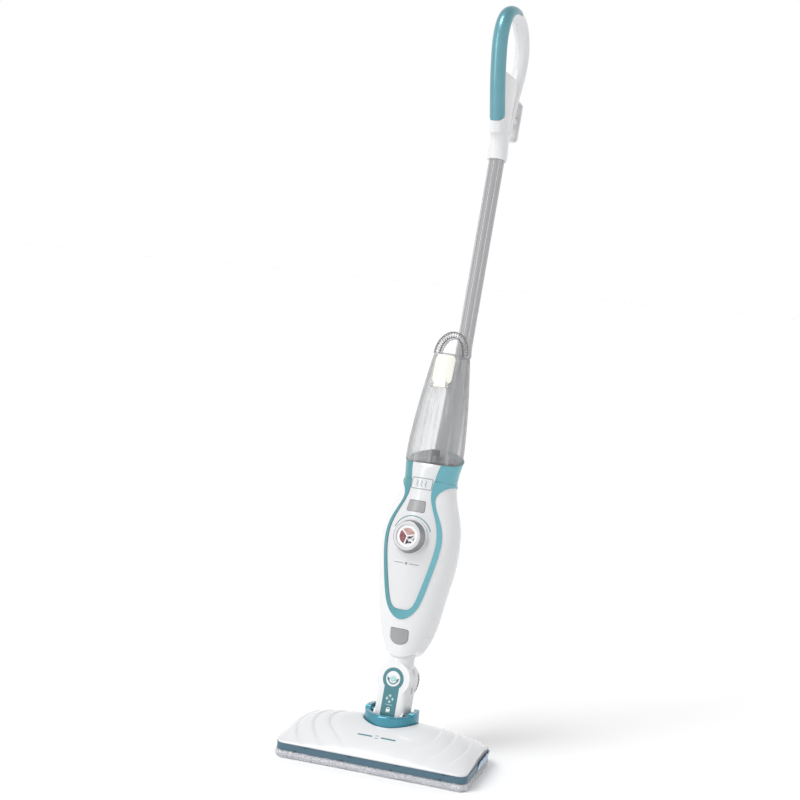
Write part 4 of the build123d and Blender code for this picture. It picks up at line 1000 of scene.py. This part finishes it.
def tickTree():
    # small bars spread evenly along a curve, flat to the arch's front
    tree, start, end, add = nodeTree("archTickMarks", {
        "Count": "Int", "Size": "Vector", "Material": "Material"})
    curve = add("GeometryNodeMeshToCurve", {}, {0: start.outputs["Geometry"]})
    even = add("GeometryNodeResampleCurve", {}, {
        "Curve": curve.outputs[0], "Count": start.outputs["Count"]})
    spots = add("GeometryNodeCurveToPoints", {"mode": "EVALUATED"}, {0: even.outputs[0]})
    bar = add("GeometryNodeMeshCube", {}, {"Size": start.outputs["Size"]})
    along = add("FunctionNodeAlignRotationToVector", {"axis": "X"}, {"Vector": spots.outputs["Tangent"]})
    flat = add("FunctionNodeAlignRotationToVector", {"axis": "Z", "pivot_axis": "X"}, {
        "Rotation": along.outputs[0], "Vector": tuple(-bodyY)})
    put = add("GeometryNodeInstanceOnPoints", {}, {
        "Points": spots.outputs["Points"], "Instance": bar.outputs["Mesh"], "Rotation": flat.outputs[0]})
    real = add("GeometryNodeRealizeInstances", {}, {0: put.outputs[0]})
    dressed = add("GeometryNodeSetMaterial", {}, {
        "Geometry": real.outputs[0], "Material": start.outputs["Material"]})
    tree.links.new(dressed.outputs[0], end.inputs[0])
    return tree


def makeArchTicks():
    s = arch
    tree = tickTree()
    size = tuple(side * mm for side in s["tick"])
    made = []
    for inset in (s["tickInset"], s["band"] - s["tickInset"]):
        path = [tuple(bodyPoint(x, s["front"], z)) for x, z in archCurve(inset)]
        mesh = bpy.data.meshes.new("archPath")
        mesh.from_pydata(path, [(i, i + 1) for i in range(len(path) - 1)], [])
        item = addObject("archTicks", mesh)
        made.append(growTree(item, tree, {"Count": s["count"], "Size": size, "Material": finishes["smoke"]}))
    joinInto(made[0], made[1])
    joinInto(made[0], archEdges())
    made[0].data.materials.clear()
    finishPiece(made[0], "tank", finishes["smoke"])
    print("arch ticks made")


def archEdges():
    # the arch's two dark rims, as thin ribbons
    s = arch
    points, faces = [], []
    near, far = s["edgeFront"], s["edgeBack"]
    for inset in (s["edgeInset"], s["band"] - s["edgeInset"]):
        base = len(points)
        outer, inner = archCurve(inset - s["line"]), archCurve(inset + s["line"])
        for (ox, oz), (ix, iz) in zip(outer, inner):
            for x, y, z in ((ox, near, oz), (ix, near, iz), (ix, far, iz), (ox, far, oz)):
                points.append(bodyPoint(x, s["front"] + y, z))
        for i in range(len(outer) - 1):
            a, b = base + 4 * i, base + 4 * i + 4
            faces += [(a + j, a + (j + 1) % 4, b + (j + 1) % 4, b + j) for j in range(4)]
        last = base + 4 * (len(outer) - 1)
        faces += [(base, base + 3, base + 2, base + 1), (last, last + 1, last + 2, last + 3)]
    item = meshObject("archEdges", points, faces)
    tidyNormals(item, 1e-7)
    return item


# two dashes and a dot on the cover's front slope
headMark = {
    "strokes": ((-30, -7, 2.4), (7, 30, 2.4), (-2.5, 2.5, 5.0)), "at": -66.0, "proud": 0.16, "ink": 0.3,
}


def makeHeadMark():
    s = headMark
    plan = planBox(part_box("head_cover"))
    points, faces = [], []
    for start, end, wide in s["strokes"]:
        first = len(points)
        steps = int(end - start)
        for i in range(steps + 1):
            x = start + (end - start) * i / steps
            for y in (s["at"] - wide / 2, s["at"] + wide / 2):
                points.append(Vector((x, y, coverHeight(x, y, *plan) + s["proud"])) * mm)
        for i in range(steps):
            k = first + 2 * i
            faces.append((k, k + 2, k + 3, k + 1))
    item = meshObject("headMark", points, faces)
    thicken(item, "ink", s["ink"], -1)
    bakeModifiers(item)
    finishPiece(item, "head", finishes["tealInk"])
    print("head mark made")


# notches along the plate's front edge, as dark prisms whose colour is painted shade inside the notches
notch = {
    "places": (-118.0, -42.0, 36.0, 112.0), "width": 7.0, "tall": 2.6,
    "proud": 0.35, "sunk": 1.0, "lift": 0.4,
    "shape": ((-0.5, 0.0), (0.5, 0.0), (0.12, 1.0), (-0.18, 0.7)),
}


def makeNotches():
    s = notch
    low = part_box("base_plate")[0]
    front, foot = low[1], low[2] + s["lift"] * mm
    shape = [(s["width"] * across, s["tall"] * up) for across, up in s["shape"]]
    points, faces = [], []
    for x in s["places"]:
        base = len(points)
        for y in (front - s["proud"] * mm, front + s["sunk"] * mm):
            points += [Vector(((x + dx) * mm, y, foot + dz * mm)) for dx, dz in shape]
        faces += [(base, base + 1, base + 2, base + 3), (base + 7, base + 6, base + 5, base + 4)]
        faces += [(base + j, base + 4 + j, base + 4 + (j + 1) % 4, base + (j + 1) % 4) for j in range(4)]
    item = meshObject("plateNotches", points, faces, False)
    tidyNormals(item, 1e-7)
    # painted shade: the notches' recesses are drawn as dark plastic
    finishPiece(item, "head", finishes["dark"])
    print("notches made")


finishes = makeFinishes()
makeCamera()
makeStudio()
dressNodes()
makeCover()
makePad()
makeCuffs()
printPanel()
printBadge()
printNeck()
print("marks printed")
makeTeeth()
makeArchTicks()
makeNotches()
makeHeadMark()
